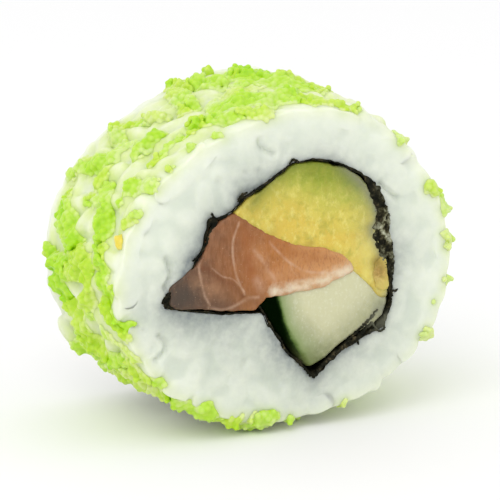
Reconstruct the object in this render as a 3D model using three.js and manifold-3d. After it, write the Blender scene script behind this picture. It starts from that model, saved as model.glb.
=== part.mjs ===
// One cut piece of an inside-out sushi roll, lying on its side like a wheel.
// Millimetres, +Z up. X runs to the right across the front cut, Y runs away through the roll,
// and the origin is on the floor under the middle of the piece.

import * as THREE from "three";
import { mergeVertices } from "three/addons/utils/BufferGeometryUtils.js";
import Module from "manifold-3d";

const wasm = await Module();
wasm.setup();

// Driving sizes of the roll
const LENGTH = 24.4; // one eighth of a roll as long as a seaweed sheet
const HALF = LENGTH / 2;
const MEAN_RADIUS = 21.0;
const CENTRE_HEIGHT = 20.9;
const BULGE = 0.9; // how much fatter the middle is than the cut ends
const BACK_GROWTH = 0.2;
const OUTLINE_TWIST = THREE.MathUtils.degToRad(18); // the squashed outline turns along the roll
const OUTLINE_WAVES = [
  { waves: 1, size: 0.49, from: -53 },
  { waves: 2, size: 1.47, from: 3, twists: true },
  { waves: 3, size: 0.3, from: -49 },
  { waves: 4, size: 0.21, from: -19 },
];

// Sizes of the rice and of the roe on it
const GRAIN = { length: 5.6, width: 2.7, height: 2.4 };
const GRAIN_SIDES = 6;
const GRAIN_BANDS = 4;
const FACET_FILL = 1.1; // a grain with few sides is drawn larger, to keep its true volume
const SIDE_PITCH = { around: 6.6, along: 4.07 };
const SIDE_HEADING = { middle: Math.PI / 2, spread: 0.7 }; // most grains lie round the roll
const STRAY_GRAIN = { angle: 3.7, y: 10.2, depth: 0.5, heading: 1.2 }; // stands out low on the left
const FACE_PITCH = 5.2;
const CORE_DEPTH = 0.95; // the packed rice between the grains lies this far under their tops
const FACE_DEPTH = 0.3;
const RIM_DROP = 0.35; // the rim of each cut end is rounded by this much
const RIM_WIDTH = 1.6;
const JITTER = 0.27; // how far a grain strays from its row, in pitches
const SIDE_UNEVENNESS = 0.35; // how much deeper the deepest side grains lie
const CUT_OFF = { least: 0.15, most: 0.5 }; // what the knife took off the grains on a cut
const FROM_RIM = 1.9; // between the rim of a cut and the middle of a grain on it
const FROM_SHEET = 1.0;
const CORE_SIDES = 36;
const ROE_SIZE = 0.8;
const ROE_COUNT = 76;
const ROE_SPACING = 0.95;

// Sizes of what the rice is wrapped round
const PIECE_SPACING = 0.3; // between one piece and the next
const SHEET_THICKNESS = 0.5;
const CRUMPLE_THICKNESS = 1.2; // more, where the sheet is crumpled at the right
const FOLD_THICKNESS = 0.45; // more, along the lower right edge
const FILLING_TWIST = THREE.MathUtils.degToRad(8); // from the front cut to the back cut
const FILLING_SHIFT = { x: 0.5, z: -0.4 };
const FILLING_STEPS = 2;
const SALMON_PROUD = 0.35; // soft fillings swell out of the cut by this much
const AVOCADO_PROUD = 0.2;

// Colours
const COLOURS = {
  rice: 0xe9ebe2,
  nori: 0x1c231b,
  avocado: 0xb9c45a,
  salmon: 0xc8773c,
  cucumber: 0xdde3b4,
};

// Small helpers

// A repeatable stream of numbers from 0 to 1.
function seeded(seed) {
  let state = seed;
  return () => {
    state = (state + 0x6d2b79f5) | 0;
    let mixed = Math.imul(state ^ (state >>> 15), 1 | state);
    mixed = (mixed + Math.imul(mixed ^ (mixed >>> 7), 61 | mixed)) ^ mixed;
    return ((mixed ^ (mixed >>> 14)) >>> 0) / 4294967296;
  };
}

const random = seeded(20);
const between = (low, high) => low + (high - low) * random();
const spread = (size) => between(-size, size);

function toSolid(geometry) {
  geometry.deleteAttribute("normal");
  geometry.deleteAttribute("uv");
  const merged = mergeVertices(geometry, 1e-5);
  const vertProperties = new Float32Array(merged.attributes.position.array);
  const triVerts = new Uint32Array(merged.index.array);
  return new wasm.Manifold(new wasm.Mesh({ numProp: 3, vertProperties, triVerts }));
}

// The largest connected body. Loose scraps are dropped and sealed pockets are filled.
function wholeBody(solid) {
  const bodies = solid.decompose();
  return bodies.reduce((best, body) => (body.volume() > best.volume() ? body : best));
}

function toMesh(name, solid, roughness) {
  const { vertProperties, triVerts } = wholeBody(solid).getMesh();
  const geometry = new THREE.BufferGeometry();
  geometry.setAttribute("position", new THREE.BufferAttribute(vertProperties, 3));
  geometry.setIndex(new THREE.BufferAttribute(triVerts, 1));
  geometry.computeVertexNormals();
  const colour = COLOURS[name] ?? COLOURS.salmon;
  const material = new THREE.MeshStandardMaterial({ color: colour, roughness, metalness: 0 });
  const mesh = new THREE.Mesh(geometry, material);
  mesh.name = name;
  return mesh;
}

// Outlines. Each is a closed list of points in the plane of the cut, counter-clockwise.

function splineThrough(stretches, spacing) {
  const outline = [];
  for (const stretch of stretches) {
    const curve = new THREE.SplineCurve(stretch.map(([x, z]) => new THREE.Vector2(x, z)));
    const count = Math.max(1, Math.round(curve.getLength() / spacing));
    outline.push(...curve.getSpacedPoints(count).slice(0, -1));
  }
  return outline;
}

const NEARLY = 0.93;

function distanceToOutline(point, outline) {
  let nearest = Infinity;
  outline.forEach((start, index) => {
    const end = outline[(index + 1) % outline.length];
    const edge = end.clone().sub(start);
    const along = point.clone().sub(start).dot(edge) / edge.lengthSq();
    const foot = start.clone().addScaledVector(edge, THREE.MathUtils.clamp(along, 0, 1));
    nearest = Math.min(nearest, foot.distanceTo(point));
  });
  return nearest;
}

// The outline moved inwards by a depth that may change from place to place, outwards if negative.
// Points that a fold in the outline brings nearer to it than that depth are left out.
function inset(outline, depthAt) {
  const count = outline.length;
  const moved = outline.map((point, index) => {
    const before = outline[(index + count - 1) % count];
    const after = outline[(index + 1) % count];
    const edge = after.clone().sub(before).normalize();
    const inward = new THREE.Vector2(-edge.y, edge.x);
    const depth = depthAt(point);
    return { place: point.clone().addScaledVector(inward, depth), depth: Math.abs(depth) };
  });
  const clear = moved.filter(({ place, depth }) => distanceToOutline(place, outline) > NEARLY * depth);
  return clear.map(({ place }) => place);
}

// An open line moved sideways, to its left if the distance is positive.
function shifted(line, distance) {
  return line.map((point, index) => {
    const before = line[Math.max(index - 1, 0)];
    const after = line[Math.min(index + 1, line.length - 1)];
    const edge = after.clone().sub(before).normalize();
    return point.clone().addScaledVector(new THREE.Vector2(-edge.y, edge.x), distance);
  });
}

const points = (list) => list.map(([x, z]) => new THREE.Vector2(x, z));

// A prism from front to back over an outline. Each of its vertices is then laid where placeAt says,
// from its place in the outline and from s, which runs from -1 at the front to 1 at the back.
function prism(outline, steps, placeAt) {
  const shape = new THREE.Shape(outline);
  const geometry = new THREE.ExtrudeGeometry(shape, { depth: 2, steps, bevelEnabled: false });
  const { position } = geometry.attributes;
  for (let index = 0; index < position.count; index += 1) {
    const s = 1 - position.getZ(index);
    const place = placeAt(position.getX(index), position.getY(index), s);
    position.setXYZ(index, place.x, place.y, place.z);
  }
  return toSolid(geometry);
}

// The fillings and the sheet round them turn and shift a little along the roll.
function alongFilling(reach) {
  return (x, z, s) => {
    const back = (s + 1) / 2;
    const turned = new THREE.Vector2(x, z - CENTRE_HEIGHT);
    turned.rotateAround(new THREE.Vector2(0, 0), FILLING_TWIST * back);
    const sideways = turned.x + FILLING_SHIFT.x * back;
    const upwards = turned.y + CENTRE_HEIGHT + FILLING_SHIFT.z * back;
    return new THREE.Vector3(sideways, s * reach, upwards);
  };
}

// Outer surface of the rice, in polar form round the middle of the roll

function radiusAt(angle, s) {
  const back = (s + 1) / 2;
  const wave = OUTLINE_WAVES.reduce((sum, { waves, size, from, twists }) => {
    const start = THREE.MathUtils.degToRad(from) + (twists ? OUTLINE_TWIST * back : 0);
    return sum + size * Math.cos(waves * (angle - start));
  }, 0);
  return MEAN_RADIUS + wave + BULGE * (1 - s * s) + BACK_GROWTH * back;
}

function onSurface(angle, y, depth) {
  const s = THREE.MathUtils.clamp(y / HALF, -1, 1);
  const radius = radiusAt(angle, s) - depth;
  return new THREE.Vector3(radius * Math.cos(angle), y, CENTRE_HEIGHT + radius * Math.sin(angle));
}

// The seaweed sheet. Its outline is smooth between the corners where it is creased.
const SHEET_STRETCHES = [
  [[-16.5, 17.7], [-13.2, 16.7], [-9.0, 15.9], [-3.6, 15.4]],
  [[-3.6, 15.4], [-2.3, 13.0], [0.6, 9.2], [3.6, 6.5]],
  [[3.6, 6.5], [6.4, 8.7], [9.8, 10.6], [12.9, 11.7]],
  [[12.9, 11.7], [14.0, 14.4], [14.3, 17.4], [14.4, 20.4], [13.9, 23.9], [13.4, 27.4]],
  [[13.4, 27.4], [10.7, 30.9], [6.6, 33.2], [3.0, 33.9], [0.3, 33.6]],
  [[0.3, 33.6], [-2.2, 32.0], [-4.6, 30.6], [-6.8, 29.8]],
  [[-6.8, 29.8], [-7.6, 28.4], [-9.2, 27.8], [-10.4, 27.8]],
  [[-10.4, 27.8], [-11.2, 25.0], [-12.4, 22.4], [-14.3, 20.1], [-16.6, 18.7]],
];
const SHEET_SPACING = 1.4;
const CRUMPLE = new THREE.Vector2(13.7, 24.6);
const CRUMPLE_REACH = 5.0;
const FOLD = new THREE.Vector2(8.6, 9.8);
const FOLD_REACH = 4.0;

function sheetThickness(point) {
  const nearCrumple = Math.exp(-point.distanceToSquared(CRUMPLE) / CRUMPLE_REACH ** 2);
  const nearFold = Math.exp(-point.distanceToSquared(FOLD) / FOLD_REACH ** 2);
  return SHEET_THICKNESS + CRUMPLE_THICKNESS * nearCrumple + FOLD_THICKNESS * nearFold;
}

const sheetOuter = splineThrough(SHEET_STRETCHES, SHEET_SPACING);
const sheetInner = inset(sheetOuter, sheetThickness);
const channelOutline = inset(sheetOuter, () => -PIECE_SPACING);
const fillingOutline = inset(sheetInner, () => PIECE_SPACING);

// Lines that part one filling from the next, each drawn from left to right
const AVOCADO_ON_CUCUMBER = [[8.9, 19.5], [10.3, 18.3], [11.4, 17.0], [12.5, 15.9], [18, 13.9]];
const UNDER_AVOCADO = points([
  [-14, 33.4], [-7.6, 28.2], [-5.4, 26.7], [-2.5, 24.8], [0.9, 23.3], [4.7, 22.6], [7.3, 21.4],
  ...AVOCADO_ON_CUCUMBER,
]);
const OVER_CUCUMBER = points([
  [-6.5, 12.4], [-4.1, 16.6], [-3.0, 17.5], [1.0, 17.7], [4.6, 18.0], [6.6, 18.8],
  ...AVOCADO_ON_CUCUMBER,
]);
const SCRAP = { x: 13.1, z: 18.7, halfWidth: 1.35, halfHeight: 1.9, sides: 14 };
const FAR = 40;

function ellipse({ x, z, halfWidth, halfHeight, sides }, growth) {
  const curve = new THREE.EllipseCurve(x, z, halfWidth + growth, halfHeight + growth);
  return curve.getPoints(sides).slice(0, -1);
}

function above(line) {
  const start = line[0].y;
  const end = line.at(-1).y;
  const over = shifted(line, PIECE_SPACING / 2);
  return [...over, ...points([[FAR, end], [FAR, FAR], [-FAR, FAR], [-FAR, start]])];
}

function below(line) {
  const start = line[0].y;
  const end = line.at(-1).y;
  const under = shifted(line, -PIECE_SPACING / 2).reverse();
  return [...under, ...points([[-FAR, start], [-FAR, -FAR], [FAR, -FAR], [FAR, end]])];
}

// What fills the sheet, within every one of the regions
function filling(regions, proud) {
  const lay = alongFilling(HALF + proud);
  const whole = prism(fillingOutline, FILLING_STEPS, lay);
  return regions.reduce((rest, region) => rest.intersect(prism(region, FILLING_STEPS, lay)), whole);
}

// The fillings

function makeAvocado() {
  const lay = alongFilling(HALF + AVOCADO_PROUD + 1);
  const scrapRoom = prism(ellipse(SCRAP, PIECE_SPACING), FILLING_STEPS, lay);
  return toMesh("avocado", filling([above(UNDER_AVOCADO)], AVOCADO_PROUD).subtract(scrapRoom), 0.45);
}

function makeSalmon() {
  return toMesh("salmon", filling([below(UNDER_AVOCADO), above(OVER_CUCUMBER)], SALMON_PROUD), 0.35);
}

function makeScrap() {
  return toMesh("salmon_scrap", filling([ellipse(SCRAP, 0)], SALMON_PROUD), 0.35);
}

function makeCucumber() {
  return toMesh("cucumber", filling([below(OVER_CUCUMBER)], 0), 0.4);
}

function makeSheet() {
  const outer = prism(sheetOuter, FILLING_STEPS, alongFilling(HALF));
  const inner = prism(sheetInner, FILLING_STEPS, alongFilling(HALF + 1));
  return toMesh("nori", outer.subtract(inner), 0.6);
}

// The rice

// Stations of the core from front to back: how far along, and how far the rim is drawn in.
const CORE_STATIONS = [
  { y: -HALF + FACE_DEPTH, drop: RIM_DROP },
  { y: -HALF + RIM_WIDTH, drop: 0 },
  { y: -HALF / 3, drop: 0 },
  { y: HALF / 3, drop: 0 },
  { y: HALF - RIM_WIDTH, drop: 0 },
  { y: HALF - FACE_DEPTH, drop: RIM_DROP },
];

function makeCore() {
  const circle = new THREE.EllipseCurve(0, 0, 1, 1).getPoints(CORE_SIDES).slice(0, -1);
  const lastStation = CORE_STATIONS.length - 1;
  return prism(circle, lastStation, (x, z, s) => {
    const { y, drop } = CORE_STATIONS[Math.round(((s + 1) / 2) * lastStation)];
    return onSurface(Math.atan2(z, x), y, CORE_DEPTH + drop);
  });
}

// One grain, long in its own Y and flattest in its own Z, lying with Z along the surface's outward
// direction and its length turned by heading.
function layGrain(place, outward, heading) {
  const long = new THREE.Vector3(0, 1, 0);
  if (Math.abs(outward.y) > 0.9) {
    long.set(1, 0, 0);
  }
  const across = new THREE.Vector3().crossVectors(long, outward).normalize();
  long.crossVectors(outward, across).normalize();
  const basis = new THREE.Matrix4().makeBasis(across, long, outward);
  const turn = new THREE.Quaternion().setFromRotationMatrix(basis);
  const own = new THREE.Quaternion().setFromEuler(new THREE.Euler(spread(0.2), 0, heading, "ZXY"));
  const size = between(0.92, 1.08) * FACET_FILL;
  const half = new THREE.Vector3(GRAIN.width, GRAIN.length, GRAIN.height).multiplyScalar(size / 2);
  return new THREE.Matrix4().compose(place, turn.multiply(own), half);
}

function grainSolid(matrix) {
  const ball = new THREE.SphereGeometry(1, GRAIN_SIDES, GRAIN_BANDS).rotateX(Math.PI / 2);
  return toSolid(ball.applyMatrix4(matrix));
}

function sideGrains() {
  const { angle: strayAngle, y: strayY, depth: strayDepth, heading: strayHeading } = STRAY_GRAIN;
  const strayOutward = new THREE.Vector3(Math.cos(strayAngle), 0, Math.sin(strayAngle));
  const grains = [layGrain(onSurface(strayAngle, strayY, strayDepth), strayOutward, strayHeading)];
  const rows = Math.round(LENGTH / SIDE_PITCH.along);
  const inRow = Math.round((2 * Math.PI * MEAN_RADIUS) / SIDE_PITCH.around);
  for (let row = 0; row < rows; row += 1) {
    for (let column = 0; column < inRow; column += 1) {
      const turn = (column + (row % 2) / 2 + spread(JITTER)) / inRow;
      const angle = 2 * Math.PI * turn;
      const y = ((row + 0.5 + spread(JITTER)) / rows - 0.5) * LENGTH;
      const rim = THREE.MathUtils.smoothstep(Math.abs(y), HALF - 1.5 * RIM_WIDTH, HALF);
      const depth = GRAIN.height / 2 + RIM_DROP * rim + between(0, SIDE_UNEVENNESS);
      const outward = new THREE.Vector3(Math.cos(angle), 0, Math.sin(angle));
      const heading = SIDE_HEADING.middle + spread(SIDE_HEADING.spread);
      grains.push(layGrain(onSurface(angle, y, depth), outward, heading));
    }
  }
  return grains;
}

function inside(point, outline) {
  let crossings = 0;
  outline.forEach((start, index) => {
    const end = outline[(index + 1) % outline.length];
    if (start.y > point.y !== end.y > point.y) {
      const x = start.x + ((point.y - start.y) / (end.y - start.y)) * (end.x - start.x);
      crossings += point.x < x ? 1 : 0;
    }
  });
  return crossings % 2 === 1;
}

function faceGrains(end) {
  const grains = [];
  const lay = alongFilling(HALF);
  const channel = channelOutline.map((corner) => {
    const { x, z } = lay(corner.x, corner.y, end);
    return new THREE.Vector2(x, z);
  });
  const rows = Math.ceil((2.2 * MEAN_RADIUS) / FACE_PITCH);
  for (let row = 0; row < rows; row += 1) {
    for (let column = 0; column < rows; column += 1) {
      const x = (column + (row % 2) / 2 - rows / 2 + spread(JITTER)) * FACE_PITCH;
      const z = (row + 0.5 - rows / 2 + spread(JITTER)) * FACE_PITCH;
      const fromRim = radiusAt(Math.atan2(z, x), end) - Math.hypot(x, z);
      const spot = new THREE.Vector2(x, z + CENTRE_HEIGHT);
      const fromSheet = distanceToOutline(spot, channel);
      if (fromRim > FROM_RIM && fromSheet > FROM_SHEET && !inside(spot, channel)) {
        const depth = GRAIN.height / 2 - between(CUT_OFF.least, CUT_OFF.most);
        const place = new THREE.Vector3(x, end * (HALF - depth), z + CENTRE_HEIGHT);
        grains.push(layGrain(place, new THREE.Vector3(0, end, 0), spread(Math.PI / 2)));
      }
    }
  }
  return grains;
}

// Roe is stuck to the tops of the side grains, in slanting patches. Each patch is an angle round
// the roll and a place along it, with how far it reaches both ways.
const ROE_PATCHES = [
  { angle: 72, y: 1, around: 9, along: 6 },
  { angle: 88, y: -6, around: 9, along: 5 },
  { angle: 105, y: 7, around: 8, along: 5 },
  { angle: 101, y: -6, around: 10, along: 5 },
  { angle: 132, y: 7, around: 6, along: 4 },
  { angle: 148, y: 1, around: 6, along: 9 },
  { angle: 165, y: -3, around: 6, along: 4 },
  { angle: 178, y: 3, around: 10, along: 6 },
  { angle: 196, y: -2, around: 6, along: 7 },
  { angle: 214, y: 2, around: 9, along: 6 },
  { angle: 233, y: -9, around: 8, along: 3 },
  { angle: 262, y: -3, around: 7, along: 8 },
  { angle: 270, y: -10.5, around: 7, along: 2 },
  { angle: 290, y: 5, around: 7, along: 6 },
  { angle: 305, y: -7, around: 6, along: 4 },
  { angle: 326, y: 2, around: 8, along: 7 },
  { angle: 352, y: -5, around: 7, along: 6 },
  { angle: 15, y: 6, around: 8, along: 5 },
  { angle: 38, y: -3, around: 9, along: 7 },
];
const ROE_TRIES = 6000;
const ROE_SEAT = 0.95; // its middle is just under the surface of the grain, as a share of the grain
const ROE_FLOOR_CLEARANCE = 0.45;

function inPatch(place) {
  const angle = THREE.MathUtils.radToDeg(Math.atan2(place.z - CENTRE_HEIGHT, place.x));
  return ROE_PATCHES.some((patch) => {
    const away = THREE.MathUtils.euclideanModulo(angle - patch.angle + 180, 360) - 180;
    return Math.hypot(away / patch.around, (place.y - patch.y) / patch.along) < 1;
  });
}

function layRoe(grains) {
  const places = [];
  for (let attempt = 0; attempt < ROE_TRIES && places.length < ROE_COUNT; attempt += 1) {
    const grain = grains[Math.floor(random() * grains.length)];
    const top = new THREE.Vector3(spread(0.6), spread(0.7), 1).normalize().multiplyScalar(ROE_SEAT);
    const place = top.applyMatrix4(grain);
    const apart = places.every((other) => other.distanceTo(place) > ROE_SPACING);
    const withinEnds = Math.abs(place.y) < HALF - ROE_SIZE / 2;
    if (apart && withinEnds && place.z > ROE_FLOOR_CLEARANCE && inPatch(place)) {
      places.push(place);
    }
  }
  return places;
}

function roeSolid(place) {
  const ball = new THREE.OctahedronGeometry(ROE_SIZE / 2, 0);
  return toSolid(ball.translate(place.x, place.y, place.z));
}

// The rice under the roll is pressed flat where it lies.
const FOOT = { x: 0.3, z: 1.8, halfWidth: 7.5, halfLength: 10.5, halfHeight: 2.5 };

function makeFoot() {
  const ball = new THREE.SphereGeometry(1, 16, 10);
  ball.scale(FOOT.halfWidth, FOOT.halfLength, FOOT.halfHeight).translate(FOOT.x, 0, FOOT.z);
  return toSolid(ball);
}

// Everything between the two cuts of the knife and above the floor
function makeRoom() {
  const height = 3 * MEAN_RADIUS;
  const room = new THREE.BoxGeometry(height, LENGTH, height);
  return toSolid(room.translate(0, 0, height / 2));
}

function makeRice() {
  const onSide = sideGrains();
  const grains = [...onSide, ...faceGrains(-1), ...faceGrains(1)];
  const roe = layRoe(onSide);
  const pieces = [makeFoot(), ...grains.map(grainSolid), ...roe.map(roeSolid)];
  const heap = pieces.reduce((whole, piece) => whole.add(piece), makeCore());
  const channel = prism(channelOutline, FILLING_STEPS, alongFilling(HALF + 1));
  return toMesh("rice", heap.intersect(makeRoom()).subtract(channel), 0.5);
}

const roll = new THREE.Group();
roll.add(makeRice(), makeSheet(), makeAvocado(), makeSalmon(), makeCucumber(), makeScrap());

export default roll;
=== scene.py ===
"""One cut piece of an inside-out sushi roll, lying on its side on a pale floor.

Shapes are worked out in millimetres in the part's own frame and turned into metres when a mesh is made.
"""

import math

import bpy
import numpy as np
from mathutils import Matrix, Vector
from mathutils.bvhtree import BVHTree
from mathutils.kdtree import KDTree


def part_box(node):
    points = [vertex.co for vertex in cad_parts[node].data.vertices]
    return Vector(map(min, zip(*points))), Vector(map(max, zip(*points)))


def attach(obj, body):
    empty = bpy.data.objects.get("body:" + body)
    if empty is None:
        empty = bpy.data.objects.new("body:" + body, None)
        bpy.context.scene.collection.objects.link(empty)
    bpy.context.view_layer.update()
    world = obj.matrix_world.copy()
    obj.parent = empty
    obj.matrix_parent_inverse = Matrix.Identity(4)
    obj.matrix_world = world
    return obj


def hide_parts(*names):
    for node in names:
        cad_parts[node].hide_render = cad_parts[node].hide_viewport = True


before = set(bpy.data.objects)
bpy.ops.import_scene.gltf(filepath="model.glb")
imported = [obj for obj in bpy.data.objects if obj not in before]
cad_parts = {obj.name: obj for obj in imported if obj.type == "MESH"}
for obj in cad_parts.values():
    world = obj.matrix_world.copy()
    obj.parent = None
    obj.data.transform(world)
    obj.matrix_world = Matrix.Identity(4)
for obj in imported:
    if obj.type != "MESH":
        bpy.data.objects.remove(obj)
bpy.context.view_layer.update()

MM = 0.001
rng = np.random.default_rng(20)

# Driving sizes of the roll, in millimetres

LENGTH = 24.4
HALF = LENGTH / 2
MEAN_RADIUS = 21.0
CENTRE_HEIGHT = 20.9
BULGE = 0.9
BACK_GROWTH = 0.2
OUTLINE_TWIST = math.radians(18)
# Waves of the outline: how many round the roll, height, angle of a crest in degrees, share of the twist.
OUTLINE_WAVES = ((1, 0.49, -53, 0), (2, 1.47, 3, 1), (3, 0.3, -49, 0), (4, 0.21, -19, 0))
FILLING_TWIST = math.radians(8)
FILLING_SHIFT = (0.5, -0.4)
# A direction with more than this along the roll faces a cut.
FACING_A_CUT = 0.6
MOST_TRIANGLES = 190000


# Points and noise

LATTICE = rng.uniform(-1, 1, 4096)
LATTICE_STRIDES = (7919, 104729, 1299709)
SEED_SHIFT = 17.3


def rows(x, y, z):
    """Rows of three values; a single number stands for all rows."""
    return np.stack(np.broadcast_arrays(x, y, z), -1)


def radius_at(angle, s):
    """Distance from the middle to the tops of the grains, at s from -1 at the front to 1 at the back."""
    back = (s + 1) / 2
    radius = MEAN_RADIUS + BULGE * (1 - s * s) + BACK_GROWTH * back
    for waves, size, start, twists in OUTLINE_WAVES:
        radius = radius + size * np.cos(waves * (angle - math.radians(start) - twists * OUTLINE_TWIST * back))
    return radius


def on_surface(angle, y, depth):
    radius = radius_at(angle, np.clip(y / HALF, -1, 1)) - depth
    return rows(radius * np.cos(angle), y, CENTRE_HEIGHT + radius * np.sin(angle))


def under_rim(points, s):
    """How deep each point lies inside the outline of the roll at s."""
    up = points[:, 2] - CENTRE_HEIGHT
    return radius_at(np.arctan2(up, points[:, 0]), s) - np.hypot(points[:, 0], up)


def outward_at(angle):
    return rows(np.cos(angle), 0.0, np.sin(angle))


def turned(x, z, turn):
    """Places on a cut turned round the roll's middle."""
    up = z - CENTRE_HEIGHT
    return x * np.cos(turn) - up * np.sin(turn), x * np.sin(turn) + up * np.cos(turn) + CENTRE_HEIGHT


def along_filling(x, z, s):
    """Where a point of the front cut comes out at s."""
    back = (s + 1) / 2
    x, z = turned(x, z, FILLING_TWIST * back)
    return x + FILLING_SHIFT[0] * back, z + FILLING_SHIFT[1] * back


def front_spots(obj):
    """For each point of a piece, the place on the front cut that it is laid from."""
    x, y, z = read_points(obj).T
    back = np.clip((y / HALF + 1) / 2, 0, 1)
    x, z = x - FILLING_SHIFT[0] * back, z - FILLING_SHIFT[1] * back
    return np.stack(turned(x, z, -FILLING_TWIST * back), 1)


def soft_noise(points, size, seed):
    """Smooth noise from -1 to 1, whose bumps are about size millimetres apart."""
    cell = points / size + seed * SEED_SHIFT
    corner = np.floor(cell).astype(np.int64)
    part = cell - corner
    part = part * part * (3 - 2 * part)
    value = np.zeros(len(points))
    for shift in np.ndindex(2, 2, 2):
        weight = np.abs(1 - np.array(shift) - part).prod(1)
        value += weight * LATTICE[(corner + shift) @ LATTICE_STRIDES % len(LATTICE)]
    return value


def bumpy(points, layers, base=0.0):
    """A base value with layers of noise on it, each a height, a size and a seed."""
    for height, size, seed in layers:
        base = base + height * soft_noise(points, size, seed)
    return base


def step(value, low, high):
    """Rises softly from 0 at low to 1 at high."""
    share = np.clip((value - low) / (high - low), 0, 1)
    return share * share * (3 - 2 * share)


def hill(spots, middle, reach):
    """One at the middle, fading to nothing a few reaches away."""
    return np.exp(-((spots - np.array(middle)) ** 2).sum(-1) / reach ** 2)


def hills(spots, places):
    """The sum of some hills, given as middle, reach and height."""
    return sum(height * hill(spots, middle, reach) for middle, reach, height in places)


def nearest(points, targets):
    """Number of the target nearest to each point, and its distance, both given as rows of millimetres."""
    tree = KDTree(len(targets))
    for index, target in enumerate(targets):
        tree.insert(Vector(target), index)
    tree.balance()
    found = [tree.find(Vector(point)) for point in points]
    return np.array([index for _, index, _ in found]), np.array([gap for _, _, gap in found])


# Meshes

# Points of a solid this close, in millimetres, are one.
WELD_GAP = 0.01


def new_object(name, data):
    obj = bpy.data.objects.new(name, data)
    bpy.context.scene.collection.objects.link(obj)
    return obj


def make_object(name, points, faces):
    """A mesh object from points in millimetres and a list of faces."""
    mesh = bpy.data.meshes.new(name)
    mesh.from_pydata((points * MM).tolist(), [], faces)
    mesh.update()
    return new_object(name, mesh)


def remove(obj):
    mesh = obj.data
    bpy.data.objects.remove(obj)
    bpy.data.meshes.remove(mesh)


def read_values(items, key, width=3, kind=float):
    values = np.empty(len(items) * width, dtype=kind)
    items.foreach_get(key, values)
    return values.reshape(-1, width)


def read_points(obj):
    return read_values(obj.data.vertices, "co") / MM


def write_points(obj, points):
    obj.data.vertices.foreach_set("co", (points * MM).ravel())
    obj.data.update()


def set_field(obj, name, values, kind="FLOAT", key="value"):
    """Stores a value for each point of a piece, for its material to read."""
    field = obj.data.attributes.new(name, kind, "POINT")
    field.data.foreach_set(key, np.asarray(values, dtype=np.float32).ravel())


def with_modifier(obj, kind, **settings):
    """Adds one modifier and applies it."""
    modifier = obj.modifiers.new(kind, kind)
    for key, value in settings.items():
        setattr(modifier, key, value)
    seen = obj.evaluated_get(bpy.context.evaluated_depsgraph_get())
    mesh = bpy.data.meshes.new_from_object(seen)
    obj.modifiers.clear()
    old = obj.data
    obj.data = mesh
    bpy.data.meshes.remove(old)


def smoothed(obj, points, rounds):
    """Each point moves halfway to the middle of its neighbours, a number of times."""
    first, second = read_values(obj.data.edges, "vertices", 2, np.int64).T
    count = np.bincount(first, minlength=len(points)) + np.bincount(second, minlength=len(points))
    for _ in range(rounds):
        total = np.zeros_like(points)
        for axis in range(3):
            total[:, axis] += np.bincount(first, points[second, axis], len(points))
            total[:, axis] += np.bincount(second, points[first, axis], len(points))
        points = points + (total / count[:, None] - points) / 2
    return points


def fused(obj, voxel, rounds):
    """Melts all that an object holds into one smoothed skin, and gives the points of the skin."""
    with_modifier(obj, "REMESH", mode="VOXEL", voxel_size=voxel * MM)
    points = smoothed(obj, read_points(obj), rounds)
    write_points(obj, points)
    return points


def thinned(obj, hidden=()):
    """Merges faces until few enough triangles are left: at hidden points first, then in flat places."""
    triangles = sum(len(polygon.vertices) - 2 for polygon in obj.data.polygons)
    if triangles > MOST_TRIANGLES:
        group = obj.vertex_groups.new(name="hidden")
        group.add([int(index) for index in hidden], 1.0, "REPLACE")
        ratio = MOST_TRIANGLES / triangles
        with_modifier(obj, "DECIMATE", ratio=ratio, vertex_group="hidden" if len(hidden) else "")
        obj.vertex_groups.clear()


def smooth_shading(obj, angle=None):
    obj.data.shade_smooth()
    if angle is not None:
        obj.data.set_sharp_from_angle(angle=math.radians(angle))


def ring_faces(rings, count, closed=False):
    """Quads between rings of points, and from the last ring back to the first where they close."""
    ring, index = np.indices((rings if closed else rings - 1, count)).reshape(2, -1)
    after = (index + 1) % count
    beyond = (ring + 1) % rings * count
    return np.stack([ring * count + index, beyond + index, beyond + after, ring * count + after], 1)


def capped(rings, first, last):
    """Points and triangles of a closed shape with rings of points and one more point at either end."""
    count = rings.shape[1]
    side = np.arange(count)
    after = (side + 1) % count
    end = len(rings) * count + 1
    quads = ring_faces(len(rings), count) + 1
    triangles = quads[:, [0, 1, 2, 0, 2, 3]].reshape(-1, 3)
    caps = rows(0, 1 + side, 1 + after), rows(end, end - count + after, end - count + side)
    return np.vstack([first, rings.reshape(-1, 3), last]), np.vstack([caps[0], triangles, caps[1]])


def ball(sides, rings):
    """A unit ball with its poles along Y, as points and triangles."""
    tilt = math.pi * np.arange(1, rings)[:, None] / rings
    turn = 2 * math.pi * np.arange(sides) / sides
    belts = rows(np.sin(tilt) * np.cos(turn), -np.cos(tilt), np.sin(tilt) * np.sin(turn))
    return capped(belts, (0, -1, 0), (0, 1, 0))


def joined(copies, faces):
    """Many copies of a shape as one, from the points of each copy and the faces of the shape."""
    shift = np.arange(len(copies))[:, None, None] * copies.shape[1]
    return copies.reshape(-1, 3), (faces + shift).reshape(-1, 3)


# Closed lines of the front cut

# Points this close to the foremost one are on the front cut.
ON_CUT = 0.02


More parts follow.
